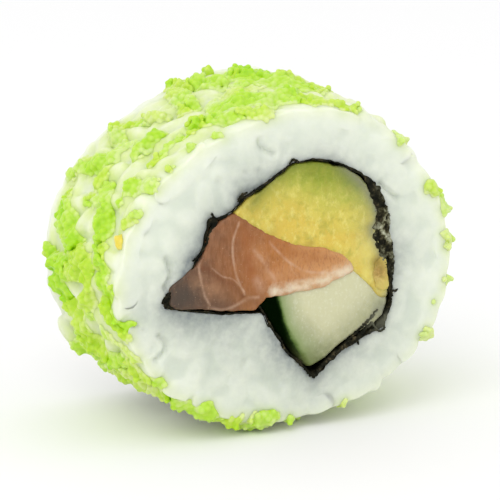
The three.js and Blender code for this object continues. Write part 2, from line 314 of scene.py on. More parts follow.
def front_loops(node):
    """The closed lines round a node's front cut, longest first, as rows of x and z."""
    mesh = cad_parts[node].data
    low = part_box(node)[0].y
    places = {}
    label = []
    for vertex in mesh.vertices:
        key = tuple(round(value / MM, 3) for value in vertex.co)
        label.append(places.setdefault(key, len(places)))
    spots = np.array(list(places))
    on_cut = np.abs(spots[:, 1] * MM - low) < ON_CUT * MM
    after = {}
    for polygon in mesh.polygons:
        corners = [label[index] for index in polygon.vertices]
        if not all(on_cut[corner] for corner in corners):
            continue
        for start, end in zip(corners, corners[1:] + corners[:1]):
            if after.pop((end, start), None) is None:
                after[(start, end)] = True
    after = dict(after.keys())
    loops = []
    while after:
        here = next(iter(after))
        loop = []
        while here in after:
            loop.append(here)
            here = after.pop(here)
        loops.append(spots[loop][:, [0, 2]])
    return sorted(loops, key=lambda loop: -len(loop))


def curved(before, here, after, beyond, steps=12):
    """Points on a smooth line from each place here to the one after it."""
    parts = []
    for t in np.linspace(0, 1, steps, endpoint=False):
        bend = 2 * before - 5 * here + 4 * after - beyond
        twist = 3 * here - before - 3 * after + beyond
        parts.append(0.5 * (2 * here + (after - before) * t + bend * t ** 2 + twist * t ** 3))
    return np.stack(parts, 1).reshape(-1, here.shape[1])


def run_along(line):
    """How far along a line each of its points is."""
    return np.concatenate([[0], np.cumsum(np.linalg.norm(np.diff(line, axis=0), axis=1))])


def resampled(loop, spacing):
    """Points at even spacing along a smooth closed line through the loop."""
    fine = curved(np.roll(loop, 1, 0), loop, np.roll(loop, -1, 0), np.roll(loop, -2, 0))
    closed = np.vstack([fine, fine[:1]])
    run = run_along(closed)
    places = np.linspace(0, run[-1], int(run[-1] / spacing), endpoint=False)
    return np.stack([np.interp(places, run, closed[:, axis]) for axis in (0, 1)], 1)


def open_line(corners):
    """A smooth open line through the corners."""
    corners = np.array(corners, dtype=float)
    first, last = 2 * corners[0] - corners[1], 2 * corners[-1] - corners[-2]
    line = np.vstack([first, corners, last])
    return np.vstack([curved(line[:-3], line[1:-2], line[2:-1], line[3:]), corners[-1:]])


def across_line(spots, corners):
    """How far each spot is to the left of a smooth open line, and how far past its ends."""
    line = open_line(corners)
    way = np.gradient(line, axis=0)
    way /= np.linalg.norm(way, axis=1, keepdims=True)
    closest = np.argmin(((spots[:, None] - line[None]) ** 2).sum(-1), 1)
    offset, way = spots - line[closest], way[closest]
    ahead = (way * offset).sum(1)
    past = np.where(closest == 0, np.maximum(-ahead, 0), 0)
    past = np.where(closest == len(line) - 1, np.maximum(ahead, 0), past)
    return way[:, 0] * offset[:, 1] - way[:, 1] * offset[:, 0], past


def away_from(spots, corners):
    """How far each spot is from a smooth open line."""
    return np.hypot(*across_line(spots, corners))


def ridge(spots, corners, reach):
    """One along a smooth open line, fading to nothing a few reaches away."""
    side, past = across_line(spots, corners)
    return np.exp(-((side ** 2 + past ** 2) / reach ** 2))


def turning(loop):
    """Twice the area inside a closed line, below zero where it runs clockwise."""
    return np.sum(loop[:, 0] * np.roll(loop[:, 1], -1) - loop[:, 1] * np.roll(loop[:, 0], -1))


def outward_normals(loop):
    """Unit normals of a closed line, pointing away from its inside."""
    tangent = np.roll(loop, -1, 0) - np.roll(loop, 1, 0)
    tangent /= np.linalg.norm(tangent, axis=1, keepdims=True)
    return np.stack([tangent[:, 1], -tangent[:, 0]], 1) * np.sign(turning(loop))


def flat(spots):
    """Places on a cut as points in space."""
    return rows(spots[:, 0], 0.0, spots[:, 1])


def gap_to(spots, loop):
    """Distance on the cut from each spot to the nearest point of a closed line."""
    return nearest(flat(spots), flat(loop))[1]


# Rice

RICE_VOXEL = 0.31
RICE_SHARP = 50
CUTTER_HALF = HALF + 2
GRAIN_HALF = np.array([1.3, 2.8, 1.1])
GRAIN = {"sides": 12, "rings": 9, "blunt": 0.9, "size": (0.86, 1.1), "stretch": (0.94, 1.06), "bend": 0.28}
SIDE_GRAINS = {"tries": 9000, "beyond": 0.2, "depth": (0.95, 1.5), "rim_sink": 0.35, "rim_reach": 1.5,
               "spacing": 2.5, "tip": 0.1}
STRAY_GRAIN = {"angle": 3.65, "y": 8.2, "depth": -0.25, "heading": 1.2}
FACE_GRAINS = {"tries": 6000, "spread": 1.15, "depth": (0.5, 1.2), "from_rim": 1.3, "from_sheet": 0.6,
               "spacing": 2.6, "tip": 0.08}
CORE = {"sides": 120, "rings": 24, "depth": 1.1, "face_depth": 0.7}
FOOT = {"sides": 32, "rings": 16, "half": (7.0, 13.5, 2.9), "middle": (0.3, 2.5, 1.8)}
# The grains at the rims are evened out: how far at the front and the back, down to which depth there, how
# deep they then lie, how softly that ends, and between which distances from the cuts it sets in.
RIM = {"evening": (0.55, 0.7), "reach": (1.6, 2.6), "sink": 0.25, "fade": 0.6, "from_cut": (3.5, 1.0)}
# Between which depths the clefts between grains set in on the side, how far from the cuts, and on the cuts;
# the clefts get painted shade.
CLEFT = {"depth": (0.6, 1.5), "from_cut": 1.5, "on_cut": (0.2, 0.75)}
# What a knife leaves of the grains at a cut: how much relief, and how much of what stood out past it.
CUT = {"from_rim": (0.2, 2.2), "reach": 1.9, "fade": 0.8, "relief": 0.26, "past": 0.12, "past_reach": 0.4}
CUT_SWAY = ((0.26, 6.5, 11), (0.1, 2.2, 12))
SINK_BY_SHEET = {"depth": 0.12, "reach": 0.8}
# Creases between grains on the front cut, and small pits in it, as places across it and up.
CREASE = {"depth": 0.7, "reach": 0.36}
CREASES = (
    ((-17.0, 14.2), (-16.1, 13.0), (-16.3, 12.1), (-17.4, 11.2)),
    ((12.5, 29.9), (14.3, 28.3), (15.0, 27.9)),
    ((-15.9, 23.4), (-15.4, 21.6), (-16.1, 19.9)),
    ((-2.0, 35.0), (-3.6, 35.9), (-3.9, 36.8)),
)
PIT = {"depth": 0.35, "reach": 0.45}
PITS = ((-9.0, 32.2), (-5.5, 33.0), (-3.9, 33.0), (-5.9, 9.6), (-2.0, 12.0), (15.3, 18.3), (-19.0, 15.2))


def swung(first, second, angle):
    """Two directions at right angles, turned by an angle in their own plane."""
    cos, sin = np.cos(angle)[:, None], np.sin(angle)[:, None]
    return cos * first + sin * second, cos * second - sin * first


def grain_axes(outward, heading, tip):
    """Axes of grains: across, along and out, with the length turned by heading and lifted by tip."""
    on_a_cut = np.abs(outward[:, 1:2]) > FACING_A_CUT
    across = np.cross(np.where(on_a_cut, [[1.0, 0, 0]], [[0, 1.0, 0]]), outward)
    across /= np.linalg.norm(across, axis=1, keepdims=True)
    along, across = swung(np.cross(outward, across), across, heading)
    along, out = swung(along, outward, tip)
    return np.stack([across, along, out], 1)


def lay_grains(places, outward, heading, tip):
    """Points and faces of rice grains: plump, slightly bent and each of its own size."""
    count = len(places)
    shape, faces = ball(GRAIN["sides"], GRAIN["rings"])
    shape[:, 1] = np.sign(shape[:, 1]) * np.abs(shape[:, 1]) ** GRAIN["blunt"]
    size = GRAIN_HALF * rng.uniform(*GRAIN["size"], (count, 1)) * rng.uniform(*GRAIN["stretch"], (count, 3))
    local = shape * size[:, None]
    bend = rng.uniform(-GRAIN["bend"], GRAIN["bend"], (count, 1))
    local[:, :, 0] += bend * (local[:, :, 1] / GRAIN_HALF[1]) ** 2
    axes = grain_axes(outward, heading, tip)
    return joined(places[:, None] + np.einsum("nvi,nij->nvj", local, axes), faces)


def spaced(candidates, spacing):
    """Keeps each candidate that is far enough from all that were kept before it."""
    kept = []
    cells = {}
    for index, place in enumerate(candidates):
        key = tuple(np.floor(place / spacing).astype(int))
        near = [other for dx in (-1, 0, 1) for dy in (-1, 0, 1) for dz in (-1, 0, 1)
                for other in cells.get((key[0] + dx, key[1] + dy, key[2] + dz), ())]
        if all(np.linalg.norm(candidates[other] - place) >= spacing for other in near):
            kept.append(index)
            cells.setdefault(key, []).append(index)
    return np.array(kept)


def side_grains():
    """The outer grains of the side, the first of which stands out alone."""
    end, count = HALF + SIDE_GRAINS["beyond"], SIDE_GRAINS["tries"]
    angle = rng.uniform(0, 2 * math.pi, count)
    y = rng.uniform(-end, end, count)
    sink = SIDE_GRAINS["rim_sink"] * np.exp(-(end - np.abs(y)) / SIDE_GRAINS["rim_reach"])
    depth = rng.uniform(*SIDE_GRAINS["depth"], count) + sink
    angle[0], y[0], depth[0] = STRAY_GRAIN["angle"], STRAY_GRAIN["y"], STRAY_GRAIN["depth"]
    places = on_surface(angle, y, depth)
    kept = spaced(places, SIDE_GRAINS["spacing"])
    heading = rng.uniform(0, math.pi, len(kept))
    heading[0] = STRAY_GRAIN["heading"]
    tip = rng.normal(0, SIDE_GRAINS["tip"], len(kept))
    return lay_grains(places[kept], outward_at(angle[kept]), heading, tip)


def face_grains(end, channel):
    """The grains that lie along one cut, clear of the rim and of the sheet."""
    angle = rng.uniform(0, 2 * math.pi, FACE_GRAINS["tries"])
    radius = MEAN_RADIUS * np.sqrt(rng.uniform(0, 1, FACE_GRAINS["tries"])) * FACE_GRAINS["spread"]
    spots = np.stack([radius * np.cos(angle), radius * np.sin(angle) + CENTRE_HEIGHT], 1)
    spots = spots[radius < radius_at(angle, end) - FACE_GRAINS["from_rim"]]
    spots = spots[gap_to(spots, channel) > FACE_GRAINS["from_sheet"]]
    depth = rng.uniform(*FACE_GRAINS["depth"], len(spots))
    places = rows(spots[:, 0], end * (HALF - depth), spots[:, 1])
    kept = spaced(places, FACE_GRAINS["spacing"])
    heading = rng.uniform(0, math.pi, len(kept))
    tip = rng.normal(0, FACE_GRAINS["tip"], len(kept))
    return lay_grains(places[kept], np.tile([0.0, end, 0.0], (len(kept), 1)), heading, tip)


def core():
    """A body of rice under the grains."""
    angle = np.linspace(0, 2 * math.pi, CORE["sides"], endpoint=False)
    y = np.linspace(-HALF + CORE["face_depth"], HALF - CORE["face_depth"], CORE["rings"])
    rings = on_surface(angle, y[:, None], CORE["depth"])
    return capped(rings, (0, y[0], CENTRE_HEIGHT), (0, y[-1], CENTRE_HEIGHT))


def foot():
    """Rice pressed flat under the roll."""
    shape, faces = ball(FOOT["sides"], FOOT["rings"])
    return shape * FOOT["half"] + FOOT["middle"], faces


def prism(loop, outset, reach, rings=9):
    """A closed prism over a loop of the front cut, laid along the roll like the fillings."""
    loop = loop + outset * outward_normals(loop)
    if turning(loop) < 0:
        loop = loop[::-1]
    points = []
    for s in np.linspace(-1, 1, rings):
        x, z = along_filling(*loop.T, s)
        points.append(rows(x, s * reach, z))
    first = list(range(len(loop)))
    last = [(rings - 1) * len(loop) + index for index in reversed(first)]
    return make_object("prism", np.concatenate(points), ring_faces(rings, len(loop)).tolist() + [first, last])


def press_cut(points, end, channel):
    """Presses the rice at one cut as the knife leaves it, and gives how deep in a cleft each point lay, for
    painted shade there.
    """
    deep = HALF - end * points[:, 1]
    on_cut = step(under_rim(points, end), *CUT["from_rim"]) * step(CUT["reach"] - deep, 0, CUT["fade"])
    pressed = np.where(deep < 0, CUT["past"] * np.tanh(deep / CUT["past_reach"]), deep)
    pressed = pressed * (1 - on_cut * (1 - CUT["relief"]))
    near = np.where(deep < CUT["reach"])[0]
    spots = points[near][:, [0, 2]]
    sway = bumpy(flat(spots), CUT_SWAY)
    sunk = SINK_BY_SHEET["depth"] * np.exp(-((gap_to(spots, channel) / SINK_BY_SHEET["reach"]) ** 2))
    if end < 0:
        for crease in CREASES:
            sunk += CREASE["depth"] * ridge(spots, crease, CREASE["reach"])
        for pit in PITS:
            sunk += PIT["depth"] * hill(spots, pit, PIT["reach"])
    pressed[near] += (sway + sunk) * on_cut[near]
    points[:, 1] = end * (HALF - pressed)
    return step(deep, *CLEFT["on_cut"]) * on_cut


def even_rims(points, from_rim):
    """Brings the grains near both rims towards one depth."""
    up = points[:, 2] - CENTRE_HEIGHT
    at_front = points[:, 1] < 0
    on_side = step(np.where(at_front, *RIM["reach"]) - from_rim, 0, RIM["fade"])
    by_cut = step(np.abs(points[:, 1]), *[HALF - distance for distance in RIM["from_cut"]])
    at_rim = np.where(at_front, *RIM["evening"]) * by_cut * on_side
    grown = 1 + at_rim * (from_rim - RIM["sink"]) / np.hypot(points[:, 0], up)
    points[:, 0] *= grown
    points[:, 2] = CENTRE_HEIGHT + up * grown


def make_rice(sheet_loop):
    """The rice as one skin over all its grains, pressed flat at the cuts, with room for what it holds."""
    channels = {-1: sheet_loop, 1: np.stack(along_filling(*sheet_loop.T, 1), 1)}
    heaps = [core(), foot(), side_grains(), face_grains(-1, channels[-1]), face_grains(1, channels[1])]
    starts = np.cumsum([0] + [len(points) for points, _ in heaps])
    faces = np.concatenate([faces + start for (_, faces), start in zip(heaps, starts)])
    rice = make_object("rice_grains", np.concatenate([points for points, _ in heaps]), faces.tolist())
    points = fused(rice, RICE_VOXEL, rounds=3)
    from_rim = under_rim(points, points[:, 1] / HALF)
    cleft_shade = step(from_rim, *CLEFT["depth"]) * (np.abs(points[:, 1]) < HALF - CLEFT["from_cut"])
    even_rims(points, from_rim)
    for end in (-1, 1):
        cleft_shade = np.maximum(cleft_shade, press_cut(points, end, channels[end]))
    points = smoothed(rice, points, 1)
    points[:, 2] = np.maximum(points[:, 2], 0)
    write_points(rice, points)
    # How deep in a cleft each point lies is kept for painted shade in the clefts.
    set_field(rice, "cleft_shade", cleft_shade)
    cutter = prism(sheet_loop, -SHEET_BEDDING, CUTTER_HALF)
    with_modifier(rice, "BOOLEAN", operation="DIFFERENCE", object=cutter, solver="MANIFOLD")
    remove(cutter)
    thinned(rice)
    smooth_shading(rice, RICE_SHARP)
    return rice


# Seaweed sheet

SHEET_STEP = 0.2
SHEET_SHARP = 60
SHEET_BEDDING = 0.1
# The sheet's thickness is a share of its solid's, with bumps and a least share.
SHEET_SHARE = 0.52
SHEET_SHARE_BUMPS = ((0.2, 1.3, 4), (0.15, 0.6, 17))
SHEET_LEAST = 0.22
# Its edge: how far it stands out of the cuts, the depths of its rows of points, and how it is crinkled
# and torn, which is more where it is crumpled.
SHEET_RISE = 0.06
SHEET_DEPTHS = np.array([-0.8 * SHEET_RISE, 0.05, 0.35, 0.8, 1.6, 3.5, 7.0])
EDGE_REACH = 1.2
EDGE_CRINKLE = ((0.12, 1.3, 1), (0.12, 0.5, 2))
EDGE_TEAR = (0.16, 0.6, 3)
CRUMPLED_TEAR = (0.3, 1.1, 7)
CRUMPLED_CRINKLE = 1.2
# The two cuts are torn differently, as the bumps of their edges are taken this far apart.
TEARS_APART = 30
# Where it is crumpled, and the corner painted grey, partly its thin wet face and partly a painted wet sheen:
# place and reach.
CRUMPLE = ((12.9, 24.0), 4.8)
FILM_AND_SHEEN = ((12.3, 12.8), 1.2)
FILM_AND_SHEEN_STRENGTH = 0.85
STRAND_CRUMPLE = 0.6
# Places where the sheet is pressed thin, or folded thick: where, how far round, how much thinner or thicker.
SHEET_CHANGES = (
    ((-12.5, 22.0), 5.0, -0.3), ((12.6, 24.5), 4.5, 0.6), ((9.0, 10.0), 4.0, -0.1),
    ((3.4, 7.0), 2.0, -0.2), ((2.0, 33.8), 7.0, -0.2), ((-5.0, 31.0), 5.0, -0.25),
    ((12.9, 12.0), 1.6, 0.4), ((13.8, 15.6), 1.6, -0.25),
)
# Places where the rice pushes the sheet in: where, how far round, how far in.
SHEET_DENTS = (((-7.0, 29.7), 1.1, 0.6), ((13.0, 25.4), 3.2, 0.35))
# Ragged strands that stand out of the front cut: places across it and up, each with the strand's half width.
STRANDS = (
    ((10.3, 31.0, 0.2), (11.0, 30.1, 0.5), (11.6, 29.0, 0.8), (12.0, 27.8, 0.75), (11.8, 27.0, 0.45),
     (11.3, 26.7, 0.1)),
    ((12.6, 28.3, 0.25), (13.3, 26.6, 0.25), (13.6, 25.3, 0.35), (13.4, 23.8, 0.3), (13.8, 22.1, 0.35),
     (14.2, 19.6, 0.45)),
    ((12.8, 26.6, 0.2), (12.2, 25.6, 0.55), (11.9, 24.3, 0.9), (12.2, 23.1, 0.8), (12.6, 21.8, 0.6),
     (13.3, 19.9, 0.45), (13.9, 18.6, 0.4)),
    ((13.9, 19.0, 0.4), (14.1, 18.1, 0.3), (13.8, 17.1, 0.35), (14.1, 16.1, 0.35), (14.0, 14.6, 0.2),
     (13.6, 13.6, 0.2), (13.2, 13.1, 0.2)),
    ((14.0, 16.5, 0.3), (13.4, 16.9, 0.2), (12.8, 17.4, 0.08)),
    ((14.0, 16.2, 0.25), (14.7, 16.2, 0.16), (15.0, 16.4, 0.06)),
    ((12.2, 14.1, 0.08), (11.8, 13.7, 0.2), (11.2, 13.0, 0.25), (9.4, 11.6, 0.2), (7.5, 10.1, 0.16),
     (5.3, 8.6, 0.15), (3.8, 7.1, 0.2)),
    ((11.5, 12.6, 0.15), (10.7, 11.9, 0.25), (9.7, 11.0, 0.36), (8.8, 10.4, 0.33), (6.6, 9.2, 0.2),
     (4.5, 7.6, 0.18), (3.8, 6.7, 0.25)),
    ((9.4, 10.8, 0.3), (9.6, 9.9, 0.12)),
    ((11.5, 12.4, 0.15), (12.1, 11.7, 0.15), (12.6, 11.3, 0.2), (13.2, 11.6, 0.15), (13.2, 12.5, 0.13),
     (13.4, 13.2, 0.15)),
    ((2.1, 8.0, 0.1), (2.6, 7.3, 0.22), (3.4, 6.6, 0.28), (4.0, 7.0, 0.22)),
    ((1.9, 8.6, 0.12), (0.0, 10.0, 0.16), (-0.7, 11.0, 0.22), (-1.2, 12.0, 0.22), (-1.9, 13.0, 0.13),
     (-3.4, 15.6, 0.13), (-4.1, 16.8, 0.25), (-3.2, 17.4, 0.2), (-2.2, 17.9, 0.1)),
    ((-10.1, 28.5, 0.05), (-9.9, 27.9, 0.3), (-9.8, 27.2, 0.5), (-10.1, 26.3, 0.42), (-10.6, 25.4, 0.28),
     (-11.0, 24.6, 0.1)),
    ((-6.7, 29.7, 0.2), (-6.2, 30.2, 0.28), (-5.5, 30.6, 0.12)),
    ((-15.3, 19.7, 0.12), (-16.0, 18.9, 0.28), (-16.5, 18.2, 0.2), (-15.8, 17.6, 0.28),
     (-15.1, 17.2, 0.12)),
    ((0.1, 33.6, 0.12), (0.7, 34.0, 0.22), (1.4, 33.5, 0.15)),
    ((-12.6, 22.9, 0.1), (-12.1, 23.2, 0.16), (-11.4, 23.9, 0.08)),
)
BEADS = {"sides": 8, "rings": 5, "spacing": 0.15, "abreast": 3, "jitter": 0.65, "size": (0.1, 0.55),
         "half_thick": 0.2}
STRAND_VOXEL = 0.07


def sheet_lines():
    """The outer line of the sheet on the front cut, and the way from it to the inner line."""
    outer, inner = [resampled(line, SHEET_STEP) for line in front_loops("nori")[:2]]
    if np.ptp(outer[:, 0]) < np.ptp(inner[:, 0]):
        outer, inner = inner, outer
    partner = inner[nearest(flat(outer), flat(inner))[0]]
    partner = (np.roll(partner, 1, 0) + 2 * partner + np.roll(partner, -1, 0)) / 4
    share = bumpy(flat(outer), SHEET_SHARE_BUMPS, SHEET_SHARE) + hills(outer, SHEET_CHANGES)
    outer = outer - hills(outer, SHEET_DENTS)[:, None] * outward_normals(outer)
    return outer, (partner - outer) * np.maximum(share, SHEET_LEAST)[:, None]


def make_strands():
    """Points and quads of strands that have grown together from many small flat beads."""
    places, sizes = [], []
    for strand in STRANDS:
        line = open_line(strand)
        run = run_along(line[:, :2])
        stops = np.repeat(np.arange(0, run[-1], BEADS["spacing"]), BEADS["abreast"])
        x, z, width = [np.interp(stops, run, line[:, column]) for column in range(3)]
        sway = rng.uniform(-1, 1, (len(stops), 2)) * (BEADS["jitter"] * width)[:, None]
        depth = rng.uniform(-0.5, 0.5, len(stops)) * BEADS["half_thick"]
        places.append(rows(x + sway[:, 0], -HALF + depth, z + sway[:, 1]))
        across = width * rng.uniform(*BEADS["size"], len(stops)) + STRAND_VOXEL / 2
        sizes.append(rows(across, BEADS["half_thick"], across))
    shape, faces = ball(BEADS["sides"], BEADS["rings"])
    points, faces = joined(np.concatenate(places)[:, None] + shape * np.concatenate(sizes)[:, None], faces)
    obj = make_object("strands", points, faces.tolist())
    points = fused(obj, STRAND_VOXEL, rounds=1)
    quads = read_values(obj.data.loops, "vertex_index", 1, np.int64).reshape(-1, 4)
    remove(obj)
    return points, quads


def make_sheet(outer, inward):
    """The sheet inside its outer line, with a crinkled and torn edge at each cut and strands at the front."""
    stations = np.concatenate([-HALF + SHEET_DEPTHS, (HALF - SHEET_DEPTHS)[::-1]])
    profile = [(1.0, y) for y in stations] + [(0.0, HALF + SHEET_RISE)]
    profile += [(-1.0, y) for y in stations[::-1]] + [(0.0, -HALF - SHEET_RISE)]
    normal = outward_normals(outer)
    crumple = hill(outer, *CRUMPLE)
    height, size, seed = CRUMPLED_TEAR
    rings = []
    for across, y in profile:
        place = outer + inward * (1 - across) / 2
        edge = np.exp(-(HALF - abs(y)) / EDGE_REACH) if abs(y) < HALF else 1.0
        crinkle = bumpy(rows(place[:, 0], y, place[:, 1]), EDGE_CRINKLE)
        out = edge * crinkle * (1 + CRUMPLED_CRINKLE * crumple)
        tear_at = rows(place[:, 0], np.sign(y) * TEARS_APART + across, place[:, 1])
        rise = bumpy(tear_at, (EDGE_TEAR, (height * crumple, size, seed)))
        x, z = along_filling(place[:, 0] + out * normal[:, 0], place[:, 1] + out * normal[:, 1], y / HALF)
        rings.append(rows(x, y + np.sign(y) * edge * rise, z))
    points = np.concatenate(rings)
    strand_points, strand_faces = make_strands()
    faces = np.vstack([ring_faces(len(rings), len(outer), closed=True), strand_faces + len(points)])
    sheet = make_object("nori_sheet", np.vstack([points, strand_points]), faces.tolist())
    strand_spots = strand_points[:, [0, 2]]
    spots = np.concatenate([np.tile(outer, (len(rings), 1)), strand_spots])
    on_strands = STRAND_CRUMPLE * hill(strand_spots, *CRUMPLE)
    set_field(sheet, "crumple", np.concatenate([np.tile(crumple, len(rings)), on_strands]))
    # The corner painted grey: partly the thin wet sheet, partly a painted wet sheen.
    set_field(sheet, "film_and_sheen", FILM_AND_SHEEN_STRENGTH * hill(spots, *FILM_AND_SHEEN))
    smooth_shading(sheet, SHEET_SHARP)
    return sheet


# Fillings

RAGGED_BUMPS = ((0.6, 1.6, 14), (0.4, 0.7, 15))
RELIEF_BUMPS = ((0.7, 3.0, 5), (0.3, 1.1, 6))
TIP = {"start": -11.5, "pull": 0.75, "drop": 0.05}


def make_filling(node, name, voxel, growth, ragged, relief):
    """A soft copy of a filling, swollen unevenly to meet its neighbours, with relief on its two cuts."""
    obj = new_object(name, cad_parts[node].data.copy())
    obj.data.materials.clear()
    with_modifier(obj, "WELD", merge_threshold=WELD_GAP * MM)
    points = fused(obj, voxel, rounds=2)
    normals = read_values(obj.data.vertices, "normal")
    uneven = growth + ragged * bumpy(points, RAGGED_BUMPS)
    points = points + uneven[:, None] * normals * (1 - np.abs(normals[:, 1:2]))
    height = relief * bumpy(points, RELIEF_BUMPS)
    points[:, 1] += np.where(np.abs(normals[:, 1]) > FACING_A_CUT, np.sign(normals[:, 1]) * height, 0)
    write_points(obj, points)
    smooth_shading(obj)
    return obj


def draw_out_tip(salmon):
    """Pulls the thin left end of the salmon into the fold of the sheet."""
    points = read_points(salmon)
    beyond = np.maximum(TIP["start"] - points[:, 0], 0)
    points[:, 0] -= TIP["pull"] * beyond
    points[:, 2] += TIP["drop"] * beyond
    write_points(salmon, points)


# Roe

ROE_RADIUS = 0.41
ROE_BALL = {"sides": 10, "rings": 6, "size": (0.88, 1.1)}
ROE_SEAT = 0.2
ROE_SPACING = 0.6
ROE_BED_SPACING = 0.44
ROE_BED_DEPTH = 0.16
ROE_EDGE = 0.05
ROE_VOXEL = 0.19
# How deep under the tops of the rice roe may lie, and how deep under its skin its points count as hidden.
ROE_DEPTH = 1.6
ROE_HIDDEN = 0.06
ROE_TRIES = 60000
CUT_TRIES = 400
# How far outside the roll roe starts on its way in, to the side and to the cut.
START_OUT = (30, 10)
# Ragged edges of the roe, on the side and on the front cut.
ROE_SPREAD = 0.07
ROE_BUMPS = ((0.45, 2.6, 8), (0.25, 1.1, 9))
CUT_BUMPS = ((0.3, 1.1, 9),)
# Strokes of roe on the side: angle in degrees and place along the roll at both ends, half width, level.
ROE_STROKES = (
    (69, -3, 87, 6, 2.6, 1.3), (96, 4, 104, 12, 1.6, 1.5), (108, 8, 113, 0, 1.7, 1.0),
    (98, -10.6, 118, -5.6, 1.7, 1.3), (78, -9, 106, -4, 2.2, 1.3), (67, -11, 78, -9.7, 0.9, 1.0),
    (80, 1, 100, -3, 2.4, 0.8), (122, 2, 134, 9.5, 1.2, 1.4), (133, 11, 140, 2, 1.2, 1.1),
    (140, 2, 150, 0, 1.2, 1.1), (147, 3.4, 154, 10, 1.5, 1.2), (130, -2.8, 140, -3.2, 1.0, 1.1),
    (135, -0.5, 138, 2, 0.8, 0.9), (127, -6, 140, -7.1, 1.0, 1.1), (147, -10.8, 150, -7.4, 1.2, 0.8),
    (123, -7.5, 125, -7, 0.9, 0.9), (154, 2, 154, -2.8, 0.9, 0.8), (165, 7.5, 176, 1, 2.2, 1.6),
    (172, 4, 178, -2, 1.8, 1.4), (160, 0.5, 158, -4, 1.0, 0.8), (158, -4, 167, -6.5, 1.2, 1.1),
    (184, 7, 182, -2.4, 1.4, 1.3), (172, -7, 184, -9, 1.7, 0.9), (180, -4.2, 193, -3, 1.8, 1.2),
    (189, 6, 201, 0.5, 1.7, 1.6), (188, -8.5, 196, -11.3, 1.2, 1.2), (205, 3, 214, -5, 2.3, 1.7),
    (210, -7, 216, -11.2, 1.3, 1.0), (198, -6, 205, -11, 0.8, 0.8), (218, 1, 226, -10, 1.1, 1.6),
    (228, -10.5, 240, -11.4, 1.2, 1.5), (240, -11, 250, -11.6, 0.8, 1.2), (254, -9, 260, -11.6, 1.3, 1.8),
    (213, 7, 221, 4, 1.3, 1.4),
)
# Round spots of roe near the rims: angle, place along the roll, reach, level.
ROE_SPOTS = (
    (118, -11.2, 0.8, 1.1), (128, -10.8, 0.6, 1.1), (139, -11.2, 0.6, 1.0), (156, -7.5, 0.5, 1.0),
    (158, -11.6, 0.9, 1.2), (161, -10.8, 0.9, 1.2), (167, -10.8, 0.9, 1.2), (181, -11.8, 0.7, 1.0),
    (63, -11.0, 0.7, 1.2), (38, -8.5, 1.0, 1.3), (16, -10.6, 0.9, 1.5), (12.5, -11.3, 0.8, 1.5),
    (3, -11.5, 0.9, 1.0), (349, -11.6, 0.6, 1.4), (341, -9.0, 0.7, 1.0), (331, -11.4, 1.0, 1.2),
    (329, -10.2, 0.8, 1.0), (311, -9.4, 0.9, 1.1), (293, -11.8, 0.5, 1.2), (277, -9.0, 1.0, 1.0),
    (91.5, 10.0, 0.7, 2.2), (182, 9.5, 1.2, 1.6),
)
# Spots of roe on the front cut, near its rim: places across and up, reach, level.
CUT_SPOTS = (
    ((-3.6, 1.6), 1.6, 2.2), ((-2.2, 2.4), 1.0, 1.3), ((0.4, 1.5), 0.5, 1.2), ((-11.0, 4.0), 1.2, 1.0),
    ((15.2, 35.2), 0.7, 1.0), ((19.3, 29.0), 0.8, 1.0), ((20.3, 28.2), 0.7, 1.0), ((21.4, 26.3), 0.7, 1.0),
    ((21.7, 22.6), 0.5, 0.8), ((21.9, 21.2), 0.5, 0.8), ((22.3, 17.0), 0.4, 0.8), ((19.6, 14.4), 0.5, 0.8),
    ((19.2, 10.4), 0.5, 0.8), ((7.8, 2.0), 0.5, 0.8),
)
# The side that the camera doesn't see has strokes laid by rule, from one angle to the other.
UNSEEN = {"angles": (266, 398), "count": 27, "y": (-6, 10), "lean": (-6, 6), "reach": (1.5, 4),
          "width": (0.9, 1.7), "level": (1, 1.4)}
# Layers of roe: how thick it must lie there, how far out the layer is, how far it sways, its spacing.
ROE_LAYERS = (
    (0.3, -ROE_BED_DEPTH, 0.0, ROE_BED_SPACING), (ROE_EDGE, 0.0, 0.05, ROE_SPACING),
    (0.8, 0.28, 0.18, ROE_SPACING), (1.3, 0.55, 0.3, ROE_SPACING),
)
# How much lower the thin edges of the roe lie, and how thick roe is that doesn't.
ROE_TAPER = 0.24
ROE_FULL = 0.9
# Orange roe lies round these spots, and one grain in many elsewhere is orange.
ORANGE_SPOTS = ((167, -10.8),)
ORANGE_REACH = 0.7
ORANGE_SHARE = 0.001
# Where noise of this size is below this level the other roe is green, and elsewhere yellow.
GREEN = {"size": 3.4, "seed": 16, "below": 0.08}
# Tone of a grain, which is paler the higher it is, with bumps, and a little of its own.
ROE_TONE = 1.2
TONE_BUMPS = ((0.5, 2.6, 13), (0.15, 1.1, 21))
TONE_OWN = 0.06
# Changes of the tone with the thickness of the roe or along x or z: from where, to where, how much.
TONE_CHANGES = (
    ("thick", 0, 0.6, -0.35), ("thick", 0.3, 1.4, -0.35),
    ("x", 8, 16, 0.3), ("x", -18, -22, -0.3), ("z", 37, 42, -0.3),
)
# Painted light and shade on each grain: how much paler the tops of the grains are painted than the creases,
# for each millimetre, and up to where.
ROE_LIGHT_AND_SHADE = 2.0
ROE_LIGHT_AND_SHADE_REACH = 0.15


def hidden_strokes():
    strokes = []
    for middle in np.linspace(*UNSEEN["angles"], UNSEEN["count"]):
        draws = ("y", "lean", "reach", "width", "level")
        y, lean, reach, width, level = [rng.uniform(*UNSEEN[key]) for key in draws]
        strokes.append((middle - lean, y - reach, middle + lean, y + reach, width, level))
    return strokes


def arc(degrees, start):
    """The way round the roll from a start to some angles, the shorter way."""
    return (degrees - start + 180) % 360 - 180


def mound(away, reach, level):
    """The level in the middle, down to nothing at the reach."""
    return level * (1 - (away / reach) ** 2)


